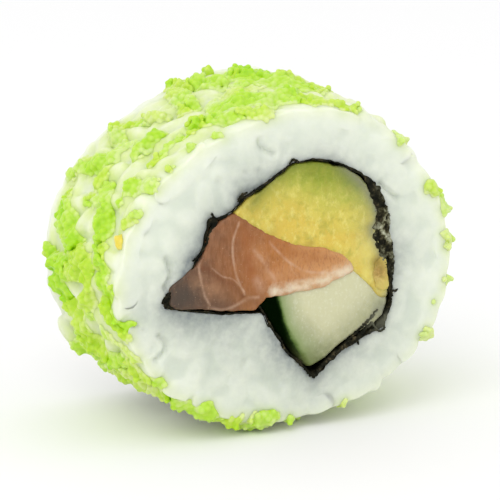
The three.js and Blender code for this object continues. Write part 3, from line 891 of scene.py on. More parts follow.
def roe_cover(angle, y):
    """Above zero where roe lies, and higher where it lies thicker."""
    degrees = np.degrees(angle)
    per_degree = math.radians(MEAN_RADIUS + 1)
    cover = np.full(len(angle), -1.0)
    for first, first_y, last, last_y, width, level in (*ROE_STROKES, *hidden_strokes()):
        x = arc(degrees, first) * per_degree
        way = np.array([arc(last, first) * per_degree, last_y - first_y])
        share = np.clip((x * way[0] + (y - first_y) * way[1]) / (way @ way), 0, 1)
        away = np.hypot(x - share * way[0], y - first_y - share * way[1])
        cover = np.maximum(cover, mound(away, width, level))
    for middle, along, reach, level in ROE_SPOTS:
        away = np.hypot(arc(degrees, middle) * per_degree, y - along)
        cover = np.maximum(cover, mound(away, reach, level))
    return cover


def seats_on(tree, starts, ways):
    """Where roe comes to lie on the rice, coming in from the starts along the ways."""
    seats = []
    for start, way in zip(starts, ways):
        hit, normal, _, _ = tree.ray_cast(Vector(start) * MM, Vector(way))
        seat = np.array(hit) / MM + np.array(normal) * ROE_RADIUS * ROE_SEAT if hit else np.full(3, np.nan)
        seats.append(seat)
    return np.array(seats)


def piled(tree, starts, outward, ragged):
    """Places of roe and how thick it lies: a bed pressed into the rice, and layers of grains on it."""
    seats = seats_on(tree, starts, -outward)
    depth = under_rim(seats, np.clip(seats[:, 1] / HALF, -1, 1))
    sound = ~np.isnan(seats[:, 0]) & (seats[:, 2] > ROE_RADIUS) & (depth < ROE_DEPTH)
    seats, outward, ragged = seats[sound], outward[sound], ragged[sound]
    layers = []
    for floor, lift, sway, spacing in ROE_LAYERS:
        thick = ragged > floor
        if thick.any():
            rise = lift - ROE_TAPER * (1 - step(ragged[thick], 0, ROE_FULL))
            moved = rng.uniform(-sway, sway, (int(thick.sum()), 3))
            layer = seats[thick] + outward[thick] * rise[:, None] + moved
            kept = spaced(layer, spacing)
            layer = np.column_stack([layer[kept], ragged[thick][kept]])
            layers.append(layer[layer[:, 2] > ROE_RADIUS])
    return np.concatenate(layers)


def lay_roe(rice):
    """Places of all the roe, each with how thick it lies there."""
    tree = BVHTree.FromObject(rice, bpy.context.evaluated_depsgraph_get())
    angle = rng.uniform(0, 2 * math.pi, ROE_TRIES)
    y = rng.uniform(-HALF, HALF, ROE_TRIES)
    ragged = bumpy(on_surface(angle, y, 0), ROE_BUMPS, roe_cover(angle, y) + ROE_SPREAD)
    picked = ragged > ROE_EDGE
    outward = outward_at(angle[picked])
    starts = outward * START_OUT[0] + rows(0.0, y[picked], CENTRE_HEIGHT)
    heaps = [piled(tree, starts, outward, ragged[picked])]
    for middle, reach, level in CUT_SPOTS:
        spots = np.array(middle) + rng.uniform(-reach, reach, (CUT_TRIES, 2))
        away = np.hypot(*(spots - middle).T)
        ragged = bumpy(flat(spots), CUT_BUMPS, mound(away, reach, level))
        picked = ragged > ROE_EDGE
        starts = flat(spots[picked]) - [0, HALF + START_OUT[1], 0]
        heaps.append(piled(tree, starts, np.tile([0.0, -1.0, 0.0], (len(starts), 1)), ragged[picked]))
    return np.concatenate(heaps)


def is_orange(places):
    """Picks the few orange grains of roe."""
    angle = np.degrees(np.arctan2(places[:, 2] - CENTRE_HEIGHT, places[:, 0])) % 360
    chosen = rng.uniform(0, 1, len(places)) < ORANGE_SHARE
    for middle, along in ORANGE_SPOTS:
        chosen |= np.hypot((angle - middle) * math.radians(MEAN_RADIUS), places[:, 1] - along) < ORANGE_REACH
    return chosen


def roe_tone(places, thick):
    """How pale each grain of roe is: less where it lies thick, and changing from side to side."""
    tone = bumpy(places, TONE_BUMPS, ROE_TONE) + rng.uniform(-TONE_OWN, TONE_OWN, len(places))
    values = {"thick": thick, "x": places[:, 0], "z": places[:, 2]}
    for key, low, high, change in TONE_CHANGES:
        tone += change * step(values[key], low, high)
    return tone


def make_roe(name, grains, rice):
    """Roe stuck together into soft clumps, in which each grain still shows, with painted light on its top and
    painted shade in its creases; thin roe is paler.
    """
    places, thick = grains[:, :3], grains[:, 3]
    shape, faces = ball(ROE_BALL["sides"], ROE_BALL["rings"])
    size = ROE_RADIUS * rng.uniform(*ROE_BALL["size"], (len(places), 1, 1))
    points, faces = joined(places[:, None] + shape * size, faces)
    obj = make_object(name, points, faces.tolist())
    points = fused(obj, ROE_VOXEL, rounds=2)
    tree = BVHTree.FromObject(rice, bpy.context.evaluated_depsgraph_get())
    hidden = []
    for index, point in enumerate(points):
        place, normal, _, _ = tree.find_nearest(Vector(point) * MM)
        if (Vector(point) * MM - place).dot(normal) < -ROE_HIDDEN * MM:
            hidden.append(index)
    thinned(obj, hidden)
    smooth_shading(obj)
    tone = roe_tone(places, thick)
    grain, gap = nearest(read_points(obj), places)
    # The tone also holds painted light and shade: paler on the tops of the grains, darker in the creases
    # between them.
    set_field(obj, "tone", tone[grain] + ROE_LIGHT_AND_SHADE * np.clip(ROE_RADIUS - gap, -ROE_LIGHT_AND_SHADE_REACH, ROE_LIGHT_AND_SHADE_REACH))
    return obj


# Materials

# Colours of each food: those that follow a value, as places on it and colours, and those laid over them.
# Brown of stains, also laid as painted shade along the avocado's border with the salmon.
STAIN_AND_SHADE_BROWN = (0.27, 0.18, 0.025)
RICE_COLOURS = {
    "face": ((0.3, (0.76, 0.81, 0.69)), (0.7, (0.86, 0.895, 0.77))),
    "side": ((0.3, (0.73, 0.77, 0.52)), (0.7, (0.82, 0.84, 0.64))),
    "by_roe": (0.65, 0.76, 0.27), "under_roe": (0.63, 0.78, 0.24),
    # The last two colours are painted shade: the grey of the clefts between grains, and the dark round the
    # seaweed, which is partly the seaweed showing through the rice.
    "cleft_shade": (0.60, 0.67, 0.56), "sheet_and_shade": (0.22, 0.25, 0.25),
}
ROE_COLOURS = {
    "roe_green": ((0.0, (0.40, 0.69, 0.008)), (0.3, (0.455, 0.715, 0.035)), (0.55, (0.51, 0.74, 0.085)),
                  (0.8, (0.575, 0.75, 0.18)), (1.0, (0.63, 0.765, 0.28))),
    "roe_yellow": ((0.0, (0.45, 0.69, 0.015)), (0.3, (0.51, 0.715, 0.05)), (0.55, (0.57, 0.74, 0.12)),
                   (0.8, (0.63, 0.755, 0.22)), (1.0, (0.67, 0.77, 0.31))),
    "roe_orange": ((0.0, (0.80, 0.66, 0.08)), (1.0, (0.86, 0.80, 0.22))),
}
SHEET_COLOURS = {
    "dark": ((0.4, (0.004, 0.005, 0.003)), (0.56, (0.018, 0.017, 0.009)), (0.7, (0.12, 0.095, 0.05))),
    "flecked": ((0.44, (0.006, 0.006, 0.003)), (0.52, (0.05, 0.045, 0.02)), (0.58, (0.26, 0.26, 0.16)),
                (0.68, (0.58, 0.59, 0.45))),
    "film_and_sheen": (0.21, 0.215, 0.15),
}
AVOCADO_COLOURS = {
    "flesh": ((0.0, (0.68, 0.51, 0.085)), (0.3, (0.62, 0.53, 0.09)), (0.5, (0.55, 0.51, 0.085)),
              (0.65, (0.43, 0.45, 0.06)), (0.82, (0.30, 0.355, 0.032)), (1.0, (0.20, 0.265, 0.015))),
    "cloud": (0.72, 0.63, 0.13), "streaks": (0.79, 0.72, 0.22), "dark": (0.40, 0.37, 0.05),
    # The last colour is brown for stains and for painted shade along the border with the salmon.
    "rim": (0.17, 0.20, 0.025), "edge": (0.235, 0.24, 0.15), "pale": (0.78, 0.70, 0.19), "stain_and_shade": STAIN_AND_SHADE_BROWN,
}
SALMON_COLOURS = {
    "flesh": ((0.0, (0.07, 0.05, 0.035)), (0.18, (0.19, 0.085, 0.04)), (0.35, (0.27, 0.105, 0.036)),
              (0.6, (0.42, 0.165, 0.042)), (0.9, (0.60, 0.31, 0.12))),
    "fibre": (0.52, 0.27, 0.14), "muscle": (0.24, 0.085, 0.03), "grey": (0.066, 0.054, 0.042),
    # Pale dots painted as glints on the wet flesh.
    "specks_and_glints": (0.70, 0.48, 0.30),
}
SHRED_COLOURS = {
    "flesh": ((0.35, (0.28, 0.19, 0.045)), (0.5, (0.42, 0.26, 0.07)), (0.65, (0.64, 0.50, 0.19))),
    "outside": (0.62, 0.51, 0.13), "stain_and_shade": STAIN_AND_SHADE_BROWN,
}
# The lowest stops of the cucumber's flesh ramp are near-black: partly its dark skin, partly a painted shadow
# of the gap between the skin and the sheet.
CUCUMBER_COLOURS = {
    "flesh": ((0.0, (0.001, 0.004, 0.0005)), (0.035, (0.008, 0.022, 0.003)), (0.06, (0.09, 0.15, 0.03)),
              (0.1, (0.27, 0.34, 0.14)), (0.2, (0.39, 0.43, 0.235)), (0.32, (0.50, 0.51, 0.31)),
              (0.5, (0.62, 0.61, 0.39))),
    # The last two colours are painted: a dark for shade low down and along the lower edge, and a grey for the
    # corner, partly wet gel and partly shade.
    "fibre": (0.70, 0.71, 0.55), "specks_and_glints": (0.76, 0.77, 0.62), "low": (0.14, 0.16, 0.055),
    "gel_and_shade": (0.24, 0.25, 0.18),
}
# How far the lines in the salmon reach, in half widths.
LINE_REACH = 1.7


class Look:
    """A material in the making: its shader, its named colours, and the colour that has been laid so far."""

    def __init__(self, name, colours=None):
        self.material = bpy.data.materials.new(name)
        self.material.use_nodes = True
        self.tree = self.material.node_tree
        self.shader = self.tree.nodes["Principled BSDF"]
        self.colours = colours
        self.colour = None

    def feed(self, node, inputs):
        """Joins sockets to the inputs of a node, and sets the inputs that are given as plain values."""
        for key, value in inputs.items():
            socket = node.inputs[key]
            if isinstance(value, bpy.types.NodeSocket):
                self.tree.links.new(value, socket)
            else:
                socket.default_value = (*value, 1) if socket.type == "RGBA" else value

    def node(self, kind, inputs, **settings):
        node = self.tree.nodes.new(kind)
        for key, value in settings.items():
            setattr(node, key, value)
        self.feed(node, inputs)
        return node

    def noise(self, size, detail=2.0, rough=0.5, stretch=(1, 1, 1)):
        """Noise whose patches are about size millimetres apart, and further where the stretch is low."""
        place = self.node("ShaderNodeTexCoord", {}).outputs["Object"]
        inputs = {0: place, 1: [share / MM for share in stretch]}
        scaled = self.node("ShaderNodeVectorMath", inputs, operation="MULTIPLY").outputs["Vector"]
        inputs = {"Vector": scaled, "Scale": 1 / size, "Detail": detail, "Roughness": rough}
        return self.node("ShaderNodeTexNoise", inputs).outputs["Fac"]

    def ranged(self, value, low, high, new_low=0.0, new_high=1.0):
        inputs = {"Value": value, "From Min": low, "From Max": high, "To Min": new_low, "To Max": new_high}
        return self.node("ShaderNodeMapRange", inputs).outputs["Result"]

    def patches(self, size, detail, rough, between, values, stretch=(1, 1, 1)):
        """Noise that goes from one value to the other between two of its levels."""
        return self.ranged(self.noise(size, detail, rough, stretch), *between, *values)

    def field(self, name, output="Fac"):
        return self.node("ShaderNodeAttribute", {}, attribute_name=name).outputs[output]

    def product(self, first, second):
        return self.node("ShaderNodeMath", {0: first, 1: second}, operation="MULTIPLY").outputs[0]

    def total(self, first, second):
        return self.node("ShaderNodeMath", {0: first, 1: second}, operation="ADD").outputs[0]

    def ramp(self, value, name):
        """A colour that follows a value through places and colours."""
        stops = self.colours[name]
        node = self.node("ShaderNodeValToRGB", {"Fac": value})
        elements = node.color_ramp.elements
        while len(elements) < len(stops):
            elements.new(0.5)
        for element, (place, colour) in zip(elements, stops):
            element.position = place
            element.color = (*colour, 1)
        return node.outputs["Color"]

    def lay(self, share, colour):
        """Lays a colour, given by name or as it is, over the one so far."""
        colour = self.colours[colour] if isinstance(colour, str) else colour
        mix = self.node("ShaderNodeMix", {0: share, 6: self.colour, 7: colour}, data_type="RGBA")
        self.colour = mix.outputs[2]

    def finish(self, relief, depth, rough, specular=0.5, flesh=None):
        """The material with its fine relief, its shine and, for wet see-through food, its depth of flesh."""
        height = self.noise(*relief)
        bump = self.node("ShaderNodeBump", {"Height": height, "Distance": depth * MM, "Strength": 1.0})
        self.feed(self.shader, {"Base Color": self.colour, "Normal": bump.outputs["Normal"]})
        self.feed(self.shader, {"Roughness": rough, "Specular IOR Level": specular})
        if flesh:
            weight, radius, scale = flesh
            self.feed(self.shader, {"Subsurface Weight": weight, "Subsurface Radius": radius})
            self.feed(self.shader, {"Subsurface Scale": scale * MM})
        return self.material


def rice_material():
    look = Look("cooked_rice", RICE_COLOURS)
    mottle = look.noise(3.0, 3)
    look.colour = look.ramp(mottle, "face")
    look.lay(look.field("side"), look.ramp(mottle, "side"))
    patchy = look.patches(1.6, 3, 0.6, (0.35, 0.65), (0.45, 1.15))
    look.lay(look.product(look.field("roe_tint"), patchy), "by_roe")
    look.lay(look.field("roe_touch"), "under_roe")
    # Painted shade: the clefts between grains are painted greyer.
    look.lay(look.product(look.field("cleft_shade"), 0.35), "cleft_shade")
    speckle = look.patches(0.9, 3, 0.6, (0.3, 0.7), (0.8, 1.15))
    # Painted shade round the seaweed, partly the seaweed showing through the rice.
    look.lay(look.product(look.field("sheet_tint_and_shade"), speckle), "sheet_and_shade")
    return look.finish((0.7, 3), 0.05, rough=0.4, flesh=(0.7, (1.0, 1.0, 0.8), 1.0))


def roe_material(name):
    look = Look(name, ROE_COLOURS)
    look.colour = look.ramp(look.field("tone"), name)
    return look.finish((0.3, 2), 0.02, rough=0.35, specular=0.4, flesh=(0.8, (1.0, 1.0, 0.4), 0.25))


def sheet_material():
    look = Look("seaweed", SHEET_COLOURS)
    look.colour = look.ramp(look.noise(0.8, 5, 0.75), "dark")
    look.lay(look.field("crumple"), look.ramp(look.noise(1.5, 4, 0.65), "flecked"))
    # The corner painted grey: partly the thin wet sheet, partly a painted wet sheen.
    look.lay(look.field("film_and_sheen"), "film_and_sheen")
    return look.finish((0.35, 3), 0.15, rough=0.6, specular=0.06)


def avocado_material():
    look = Look("avocado_flesh", AVOCADO_COLOURS)
    height = look.total(look.field("green"), look.patches(3.0, 4, 0.6, (0.3, 0.7), (-0.16, 0.16)))
    look.colour = look.ramp(height, "flesh")
    yellow = look.ranged(height, 0.45, 0.9, 1, 0.2)
    cloud = look.patches(2.2, 3, 0.6, (0.45, 0.7), (0, 0.5))
    look.lay(look.product(cloud, yellow), "cloud")
    streaks = look.patches(0.8, 5, 0.75, (0.5, 0.66), (0, 0.6), stretch=(1, 0.4, 0.6))
    look.lay(look.product(streaks, yellow), "streaks")
    look.lay(look.patches(1.4, 4, 0.65, (0.5, 0.7), (0, 0.6)), "dark")
    for name in ("rim", "edge", "pale", "stain_and_shade"):
        look.lay(look.field(name), name)
    return look.finish((0.7, 4, 0.6), 0.22, rough=0.35, specular=0.25, flesh=(0.3, (1.0, 0.8, 0.3), 0.8))


def salmon_material():
    look = Look("salmon_flesh", SALMON_COLOURS)
    wobble = look.patches(2.5, 4, 0.5, (0.3, 0.7), (-0.07, 0.07))
    look.colour = look.ramp(look.total(look.field("tone"), wobble), "flesh")
    look.lay(look.patches(1.0, 4, 0.6, (0.4, 0.7), (0, 0.34), stretch=(2.2, 0.4, 0.7)), "fibre")
    look.lay(look.patches(0.7, 5, 0.7, (0.5, 0.68), (0, 0.5), stretch=(2.6, 0.4, 0.9)), "muscle")
    look.lay(look.field("grey"), "grey")
    broken = look.patches(1.6, 4, 0.6, (0.35, 0.6), (0.3, 1.0))
    frayed = look.patches(0.7, 3, 0.6, (0.3, 0.7), (-0.3, 0.3))
    for index, (_, _, strength, fat) in enumerate(SALMON_LINES):
        across = look.field(f"line_{index}", "Vector")
        gap = look.node("ShaderNodeVectorMath", {0: across}, operation="LENGTH").outputs["Value"]
        away = look.total(gap, frayed)
        look.lay(look.product(look.ranged(away, 0.0, LINE_REACH, strength, 0), broken), fat)
    # Painted glints: tiny pale dots standing in for highlights on the wet flesh.
    look.lay(look.patches(0.2, 1, 0.5, (0.7, 0.8), (0, 0.35)), "specks_and_glints")
    return look.finish((0.6, 4), 0.08, rough=0.3, specular=0.2, flesh=(0.3, (1.0, 0.5, 0.3), 0.8))


def shred_material():
    look = Look("salmon_shred", SHRED_COLOURS)
    look.colour = look.ramp(look.noise(0.8, 4, 0.65), "flesh")
    for name in ("outside", "stain_and_shade"):
        look.lay(look.field(name), name)
    return look.finish((0.6, 3), 0.1, rough=0.35, specular=0.25, flesh=(0.3, (1.0, 0.6, 0.3), 0.8))


def cucumber_material():
    look = Look("cucumber_flesh", CUCUMBER_COLOURS)
    depth = look.total(look.field("rind"), look.patches(1.0, 4, 0.6, (0.3, 0.7), (-0.012, 0.012)))
    look.colour = rind = look.ramp(depth, "flesh")
    look.lay(look.patches(1.0, 4, 0.6, (0.5, 0.75), (0, 0.35), stretch=(1.6, 0.5, 0.7)), "fibre")
    look.lay(look.patches(0.35, 2, 0.6, (0.56, 0.7), (0, 0.38)), "specks_and_glints")
    inside, look.colour = look.colour, rind
    look.lay(look.ranged(depth, 0.1, 0.3), inside)
    speckled = look.patches(0.8, 4, 0.7, (0.3, 0.7), (0.7, 1.2))
    # Painted shade low down and along the lower right edge, and the grey corner, partly wet gel and partly
    # painted shade.
    look.lay(look.product(look.field("low"), speckled), "low")
    look.lay(look.field("gel_and_shade"), "gel_and_shade")
    wet = look.ranged(depth, 0.02, 0.12, 0.0, 0.25)
    return look.finish((0.7, 3), 0.06, rough=0.28, specular=wet, flesh=(0.35, (1.0, 1.0, 0.6), 0.9))


# Colour fields on the pieces

# Lines in the salmon: the places that they run through, half width, strength, colour.
FAT = (0.62, 0.42, 0.29)
PALE = (0.62, 0.34, 0.18)
# Deeper orange: painted shade in the band just under the avocado, and a deeper streak further left.
DEEP_AND_SHADE = (0.34, 0.11, 0.03)
# Painted shade in the fold of the salmon.
FOLD_SHADE = (0.16, 0.055, 0.02)
MEMBRANE = (0.73, 0.61, 0.43)
SALMON_LINES = (
    (((-4.4, 23.4), (-3.6, 21.4), (-2.9, 19.5)), 0.9, 0.3, PALE),
    # Painted shade just under the avocado.
    (((-1.8, 24.3), (0.4, 22.9), (2.4, 21.9), (4.6, 21.5), (6.4, 21.3)), 0.8, 0.45, DEEP_AND_SHADE),
    (((-2.0, 20.2), (1.0, 19.9), (4.0, 19.2), (7.0, 19.6)), 0.9, 0.4, PALE),
    (((-5.8, 25.6), (-5.4, 23.5), (-5.2, 21.5), (-4.6, 18.6)), 0.9, 0.55, DEEP_AND_SHADE),
    # Painted shade in the fold.
    (((-11.4, 21.9), (-10.2, 21.3), (-8.9, 20.2), (-7.6, 19.6), (-6.2, 17.9)), 0.35, 0.65, FOLD_SHADE),
    (((-6.7, 27.1), (-7.5, 24.9), (-7.5, 23.0), (-7.1, 20.7), (-6.0, 18.2)), 0.14, 0.6, FAT),
    (((-11.4, 23.9), (-11.9, 22.0), (-11.6, 20.2), (-11.2, 18.6), (-10.6, 17.4)), 0.16, 0.45, FAT),
    (((-10.2, 21.8), (-8.9, 20.7), (-7.4, 20.1), (-6.0, 18.5)), 0.1, 0.4, FAT),
    (((-10.6, 17.0), (-8.9, 16.5), (-7.2, 16.9), (-5.6, 17.6), (-4.2, 17.6)), 0.2, 0.4, FAT),
    (((-2.6, 24.2), (-1.2, 22.6), (0.1, 21.4), (2.0, 20.2), (4.4, 19.7), (6.3, 19.6), (8.0, 20.3)),
     0.16, 0.5, FAT),
    (((-4.6, 23.4), (-3.4, 21.8), (-2.4, 20.2), (-1.8, 19.0)), 0.25, 0.4, FAT),
    (((0.1, 21.4), (0.4, 20.4), (1.0, 19.7)), 0.1, 0.4, FAT),
    (((-1.9, 18.0), (0.2, 18.2), (2.0, 18.3), (5.0, 18.8), (8.2, 20.0)), 0.75, 0.9, MEMBRANE),
    (((-2.0, 18.2), (-1.0, 18.0), (-0.2, 18.0)), 0.6, 0.5, (0.74, 0.70, 0.58)),
    (((5.2, 18.8), (7.0, 19.1), (8.2, 19.6)), 0.5, 0.4, (0.80, 0.72, 0.55)),
    (((-12.0, 20.0), (-10.8, 19.6), (-9.6, 18.8)), 0.9, 0.3, PALE),
    (((-4.3, 19.6), (-3.8, 18.7)), 0.6, 0.4, FAT),
)
# Tone of the salmon: the place where it is darkest, the way to where it is palest, and a fall above a height.
SALMON_TONE = {"start": -17, "run": 25, "fall": 0.012, "above": 20}
# Greyer stretches of the salmon: place, reach, strength.
GREY_SALMON = (((-14.0, 18.8), 3.2, 0.9), ((-9.0, 17.0), 2.6, 0.5), ((-4.6, 17.6), 1.6, 0.25))
# The inner edge of the cucumber's green skin, and the edge of it that lies on the sheet at the lower right.
RIND_LINE = (
    (-2.0, 19.0), (-1.6, 17.2), (-1.1, 15.5), (-0.6, 13.6), (0.2, 11.6), (1.1, 10.0), (1.9, 8.6),
    (3.0, 7.0),
)
CUCUMBER_EDGE = ((2.6, 7.0), (5.0, 8.9), (8.5, 11.3), (12.3, 14.2), (14.0, 16.5))
# The rind's colour runs inwards from its line: where it starts, how fast, how much slower low down.
RIND = {"start": 0.02, "slope": 0.14, "low": 0.6, "more": 0.4, "between": (10, 16)}
# Painted shade along that lower right edge: strength and reach.
LOW_EDGE_SHADE = {"strength": 0.5, "reach": 2.4}
# The avocado turns green along this way, from this place on, in this many millimetres.
GREENING = {"start": (2, 26), "way": (0.35, 0.94), "run": 7.0}
# The avocado's edge beside the crumpled seaweed, and its green edge along the top.
AVOCADO_EDGE = (
    (13.5, 15.9), (13.6, 17.7), (12.7, 20.4), (11.2, 24.1), (11.9, 25.8), (10.8, 28.8), (8.1, 31.9),
    (3.7, 33.5), (0.7, 33.7),
)
AVOCADO_RIM = ((-4.6, 29.4), (-3.0, 30.9), (-1.3, 32.2), (0.6, 33.6), (4.0, 33.9), (7.4, 32.6))
# The first edge is painted greyer, and the second darker green.
EDGE = {"strength": 0.95, "reach": 1.1, "from_x": (5, 9)}
GREEN_RIM = {"strength": 0.8, "reach": 1.2}
# Paler spots of the avocado: place, reach, strength.
PALE_FLESH = (
    ((10.4, 21.8), 1.6, 0.5), ((11.2, 20.6), 0.8, 0.4), ((10.6, 18.9), 0.8, 0.5), ((12.9, 16.8), 0.8, 0.4),
)
# Brown on the avocado and the shred beside it: real stains, and painted shade along the avocado's border with
# the salmon.
STAINS_AND_SHADE = (
    ((12.0, 20.2), 0.9, 0.8), ((3.0, 23.5), 0.5, 0.45), ((2.2, 23.2), 0.4, 0.3), ((-2.3, 25.3), 0.9, 0.25),
)
# The middle of the shred: place and reach.
SHRED = ((12.3, 18.9), 1.3)
# Painted shade on the cucumber, darker low down, and its grey corner, partly wet gel and partly painted
# shade: place, reach, strength.
LOW_SHADE_SPOTS = (((3.4, 8.6), 2.2, 0.35), ((2.7, 12.8), 1.5, 0.2))
GEL_AND_SHADE = (((13.0, 14.0), 1.3, 0.8),)
# Painted shade round the seaweed, partly the seaweed showing through the rice and partly shade: where it is
# darkest, place, reach, strength.
SHADOWS = (
    ((-6.5, 31.5), 3.4, 0.5), ((-12.6, 22.3), 3.0, 0.75), ((-10.0, 14.3), 4.0, 0.45),
    ((-1.0, 10.0), 3.4, 0.55), ((15.6, 20.5), 3.0, 0.3), ((5.5, 34.4), 3.0, 0.2), ((8.5, 8.6), 3.0, 0.35),
    ((4.0, 5.5), 2.4, 0.3), ((-14.5, 15.0), 3.0, 0.5), ((-10.5, 24.5), 4.0, 0.25),
)
# Painted shade: greyer stretches of rice, place, reach, strength.
SHADED_RICE = (
    ((-9.0, 10.0), 6.0, 0.12), ((-6.0, 13.0), 5.0, 0.12), ((0.0, 4.0), 6.0, 0.08),
    ((12.0, 6.0), 7.0, 0.08), ((-18.5, 17.0), 5.0, 0.1), ((-4.0, 34.5), 4.0, 0.1),
    ((17.0, 22.0), 4.0, 0.08),
)
# How the rice takes colour from the roe and painted shade from the sheet: how far in from the side and from
# the cuts.
TINTED = {"from_rim": (0.3, 2.2), "off_cut": (0.8, 2.4)}
# Reach of each tint beside the roe, its share at the cuts, and how much more of it there is away from them.
TINTS = {"side": (5.0, 0.5, 0.5), "roe_tint": (1.9, 0.15, 0.78), "roe_touch": (0.35, 0.35, 0.4)}
# Painted shade by the seaweed: share and reach of the dark in the crevice at its edge and of the broader dark
# round it, where the rice turns darker towards the bottom and how much, reach of the shadow spots, and the
# most there may be.
SHADE = {"touch": (0.3, 0.4), "near": (0.34, 3.0), "reach": 2.6, "low": (6, 22), "low_share": 0.05,
         "most": 0.85}


def paint_rice(rice, roe_places, sheet_loop):
    points = read_points(rice)
    near_roe = nearest(points, roe_places)[1]
    on_side = 1 - step(under_rim(points, points[:, 1] / HALF), *TINTED["from_rim"])
    off_cut = step(HALF - np.abs(points[:, 1]), *TINTED["off_cut"])
    beside = np.maximum(near_roe - ROE_RADIUS, 0)
    places = (("side", near_roe, on_side), ("roe_tint", beside, on_side), ("roe_touch", beside, 1))
    for name, away, where in places:
        reach, share, more = TINTS[name]
        set_field(rice, name, where * np.exp(-away / reach) * (share + more * off_cut))
    spots = front_spots(rice)
    gap = gap_to(spots, sheet_loop)
    # Painted shade: darkest in the crevice by the seaweed, fading over a few millimetres, darker towards the
    # bottom and in the spots listed above; partly it is the seaweed showing through the rice.
    shade = sum(share * np.exp(-gap / reach) for share, reach in (SHADE["touch"], SHADE["near"]))
    shade += SHADE["low_share"] * (1 - step(spots[:, 1], *SHADE["low"]))
    shade += hills(spots, SHADOWS) * np.exp(-gap / SHADE["reach"])
    set_field(rice, "sheet_tint_and_shade", np.minimum(shade + hills(spots, SHADED_RICE), SHADE["most"]))


def paint_avocado(avocado):
    spots = front_spots(avocado)
    set_field(avocado, "green", (spots - GREENING["start"]) @ GREENING["way"] / GREENING["run"])
    edge = EDGE["strength"] * np.exp(-away_from(spots, AVOCADO_EDGE) / EDGE["reach"])
    rim = GREEN_RIM["strength"] * np.exp(-away_from(spots, AVOCADO_RIM) / GREEN_RIM["reach"])
    set_field(avocado, "edge", edge * step(spots[:, 0], *EDGE["from_x"]))
    set_field(avocado, "rim", rim)
    set_field(avocado, "pale", hills(spots, PALE_FLESH))
    # Brown stains, and painted shade along the border with the salmon.
    set_field(avocado, "stain_and_shade", hills(spots, STAINS_AND_SHADE))


def paint_salmon(salmon):
    spots = front_spots(salmon)
    fall = SALMON_TONE["fall"] * np.maximum(spots[:, 1] - SALMON_TONE["above"], 0)
    set_field(salmon, "tone", (spots[:, 0] - SALMON_TONE["start"]) / SALMON_TONE["run"] - fall)
    set_field(salmon, "grey", hills(spots, GREY_SALMON))
    for index, (corners, width, _, _) in enumerate(SALMON_LINES):
        side, past = across_line(spots, corners)
        set_field(salmon, f"line_{index}", rows(side, past, 0.0) / width, "FLOAT_VECTOR", "vector")


def paint_shred(shred):
    spots = front_spots(shred)
    set_field(shred, "outside", 1 - hill(spots, *SHRED))
    set_field(shred, "stain_and_shade", hills(spots, STAINS_AND_SHADE))


def paint_cucumber(cucumber):
    spots = front_spots(cucumber)
    side, _ = across_line(spots, RIND_LINE)
    pace = RIND["low"] + RIND["more"] * step(spots[:, 1], *RIND["between"])
    # Outside the rind line the flesh is painted near-black: partly the dark skin, partly a painted shadow of
    # its gap to the sheet.
    set_field(cucumber, "rind", RIND["start"] + RIND["slope"] * side * pace)
    # Painted shade low down and along the lower right edge, and the corner greyed partly as wet gel and
    # partly as painted shade.
    low = LOW_EDGE_SHADE["strength"] * ridge(spots, CUCUMBER_EDGE, LOW_EDGE_SHADE["reach"])
    set_field(cucumber, "low", low + hills(spots, LOW_SHADE_SPOTS))
    set_field(cucumber, "gel_and_shade", hills(spots, GEL_AND_SHADE))


# Camera, floor and lights

VIEW_TURN = math.radians(25)
VIEW_RISE = math.radians(14)
VIEW_DISTANCE = 340.0
AIM = Vector((0.46, 0.3, 20.3))
SENSOR = 36.0
LENS = 195.84
PICTURE = 500
AIM_PIXEL = (248, 248)
# The nearest and the furthest thing seen and the sizes of the floor and the light are in metres.
CLIP = (0.01, 10)
FLOOR = {"size": 6, "colour": (0.93, 0.93, 0.93), "rough": 0.9}
LIGHT = {"place": Vector((-350, -350, 550)), "target": Vector((0, 0, 20)), "size": 0.5, "power": 1.2}


def aim(obj, place, target):
    """Puts a camera or a light in its place and turns it to the target."""
    obj.location = place * MM
    obj.rotation_mode = "QUATERNION"
    obj.rotation_quaternion = (target - place).to_track_quat("-Z", "Y")


def make_camera():
    data = bpy.data.cameras.new("camera")
    data.sensor_width = SENSOR
    data.lens = LENS
    data.clip_start, data.clip_end = CLIP
    camera = new_object("camera", data)
    level = math.cos(VIEW_RISE)
    back = Vector((-math.sin(VIEW_TURN) * level, -math.cos(VIEW_TURN) * level, math.sin(VIEW_RISE)))
    right = (-back).cross(Vector((0, 0, 1))).normalized()
    up = right.cross(-back)
    pixel = VIEW_DISTANCE * SENSOR / LENS / PICTURE
    aside = right * (PICTURE / 2 - AIM_PIXEL[0]) * pixel - up * (PICTURE / 2 - AIM_PIXEL[1]) * pixel
    aim(camera, AIM + back * VIEW_DISTANCE, AIM + aside)
    bpy.context.scene.camera = camera


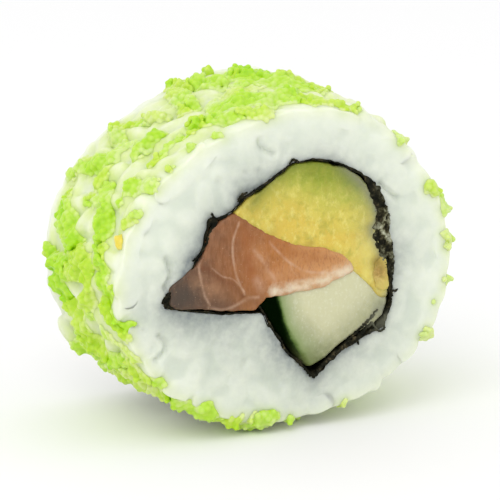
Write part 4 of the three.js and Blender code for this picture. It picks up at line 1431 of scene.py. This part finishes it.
def make_studio():
    bpy.context.scene.view_settings.view_transform = "Standard"
    world = bpy.data.worlds.new("studio")
    world.use_nodes = True
    world.node_tree.nodes["Background"].inputs["Color"].default_value = (1, 1, 1, 1)
    world.node_tree.nodes["Background"].inputs["Strength"].default_value = 1.0
    bpy.context.scene.world = world
    light = bpy.data.lights.new("soft_above_left", "AREA")
    light.shape = "SQUARE"
    light.size = LIGHT["size"]
    light.energy = LIGHT["power"]
    aim(new_object("soft_above_left", light), LIGHT["place"], LIGHT["target"])
    bpy.ops.mesh.primitive_plane_add(size=FLOOR["size"])
    floor = bpy.context.object
    floor.name = "floor"
    look = Look("pale_floor")
    look.feed(look.shader, {"Base Color": FLOOR["colour"], "Roughness": FLOOR["rough"]})
    floor.data.materials.append(look.material)


def dress(obj, material, slot, *nodes):
    obj.data.materials.clear()
    obj.data.materials.append(material)
    if nodes:
        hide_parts(*nodes)
    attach(obj, "root")


# The whole piece

# The fillings: node, name, slot, voxel, growth, how ragged the edge is, relief, painting and material.
FILLINGS = (
    ("avocado", "avocado_slice", "avocado", 0.24, 0.4, 0.32, 0.18, paint_avocado, avocado_material),
    ("salmon", "salmon_strip", "salmon", 0.24, 0.42, 0.26, 0.16, paint_salmon, salmon_material),
    ("salmon_scrap", "salmon_shred", "salmon", 0.18, 0.4, 0.6, 0.35, paint_shred, shred_material),
    ("cucumber", "cucumber_strip", "cucumber", 0.24, 0.4, 0.1, 0.1, paint_cucumber, cucumber_material),
)

make_camera()
make_studio()

sheet_outer, sheet_inward = sheet_lines()

rice = make_rice(sheet_outer)
roe = lay_roe(rice)
paint_rice(rice, roe[:, :3], sheet_outer)
dress(rice, rice_material(), "rice", "rice")

orange = is_orange(roe[:, :3])
green = (soft_noise(roe[:, :3], GREEN["size"], GREEN["seed"]) < GREEN["below"]) & ~orange
for name, chosen in (("roe_green", green), ("roe_yellow", ~green & ~orange), ("roe_orange", orange)):
    dress(make_roe(name, roe[chosen], rice), roe_material(name), "roe")

dress(make_sheet(sheet_outer, sheet_inward), sheet_material(), "nori", "nori")

for node, name, slot, voxel, growth, ragged, relief, paint, material in FILLINGS:
    filling = make_filling(node, name, voxel, growth, ragged, relief)
    if node == "salmon":
        draw_out_tip(filling)
    paint(filling)
    dress(filling, material(), slot, node)
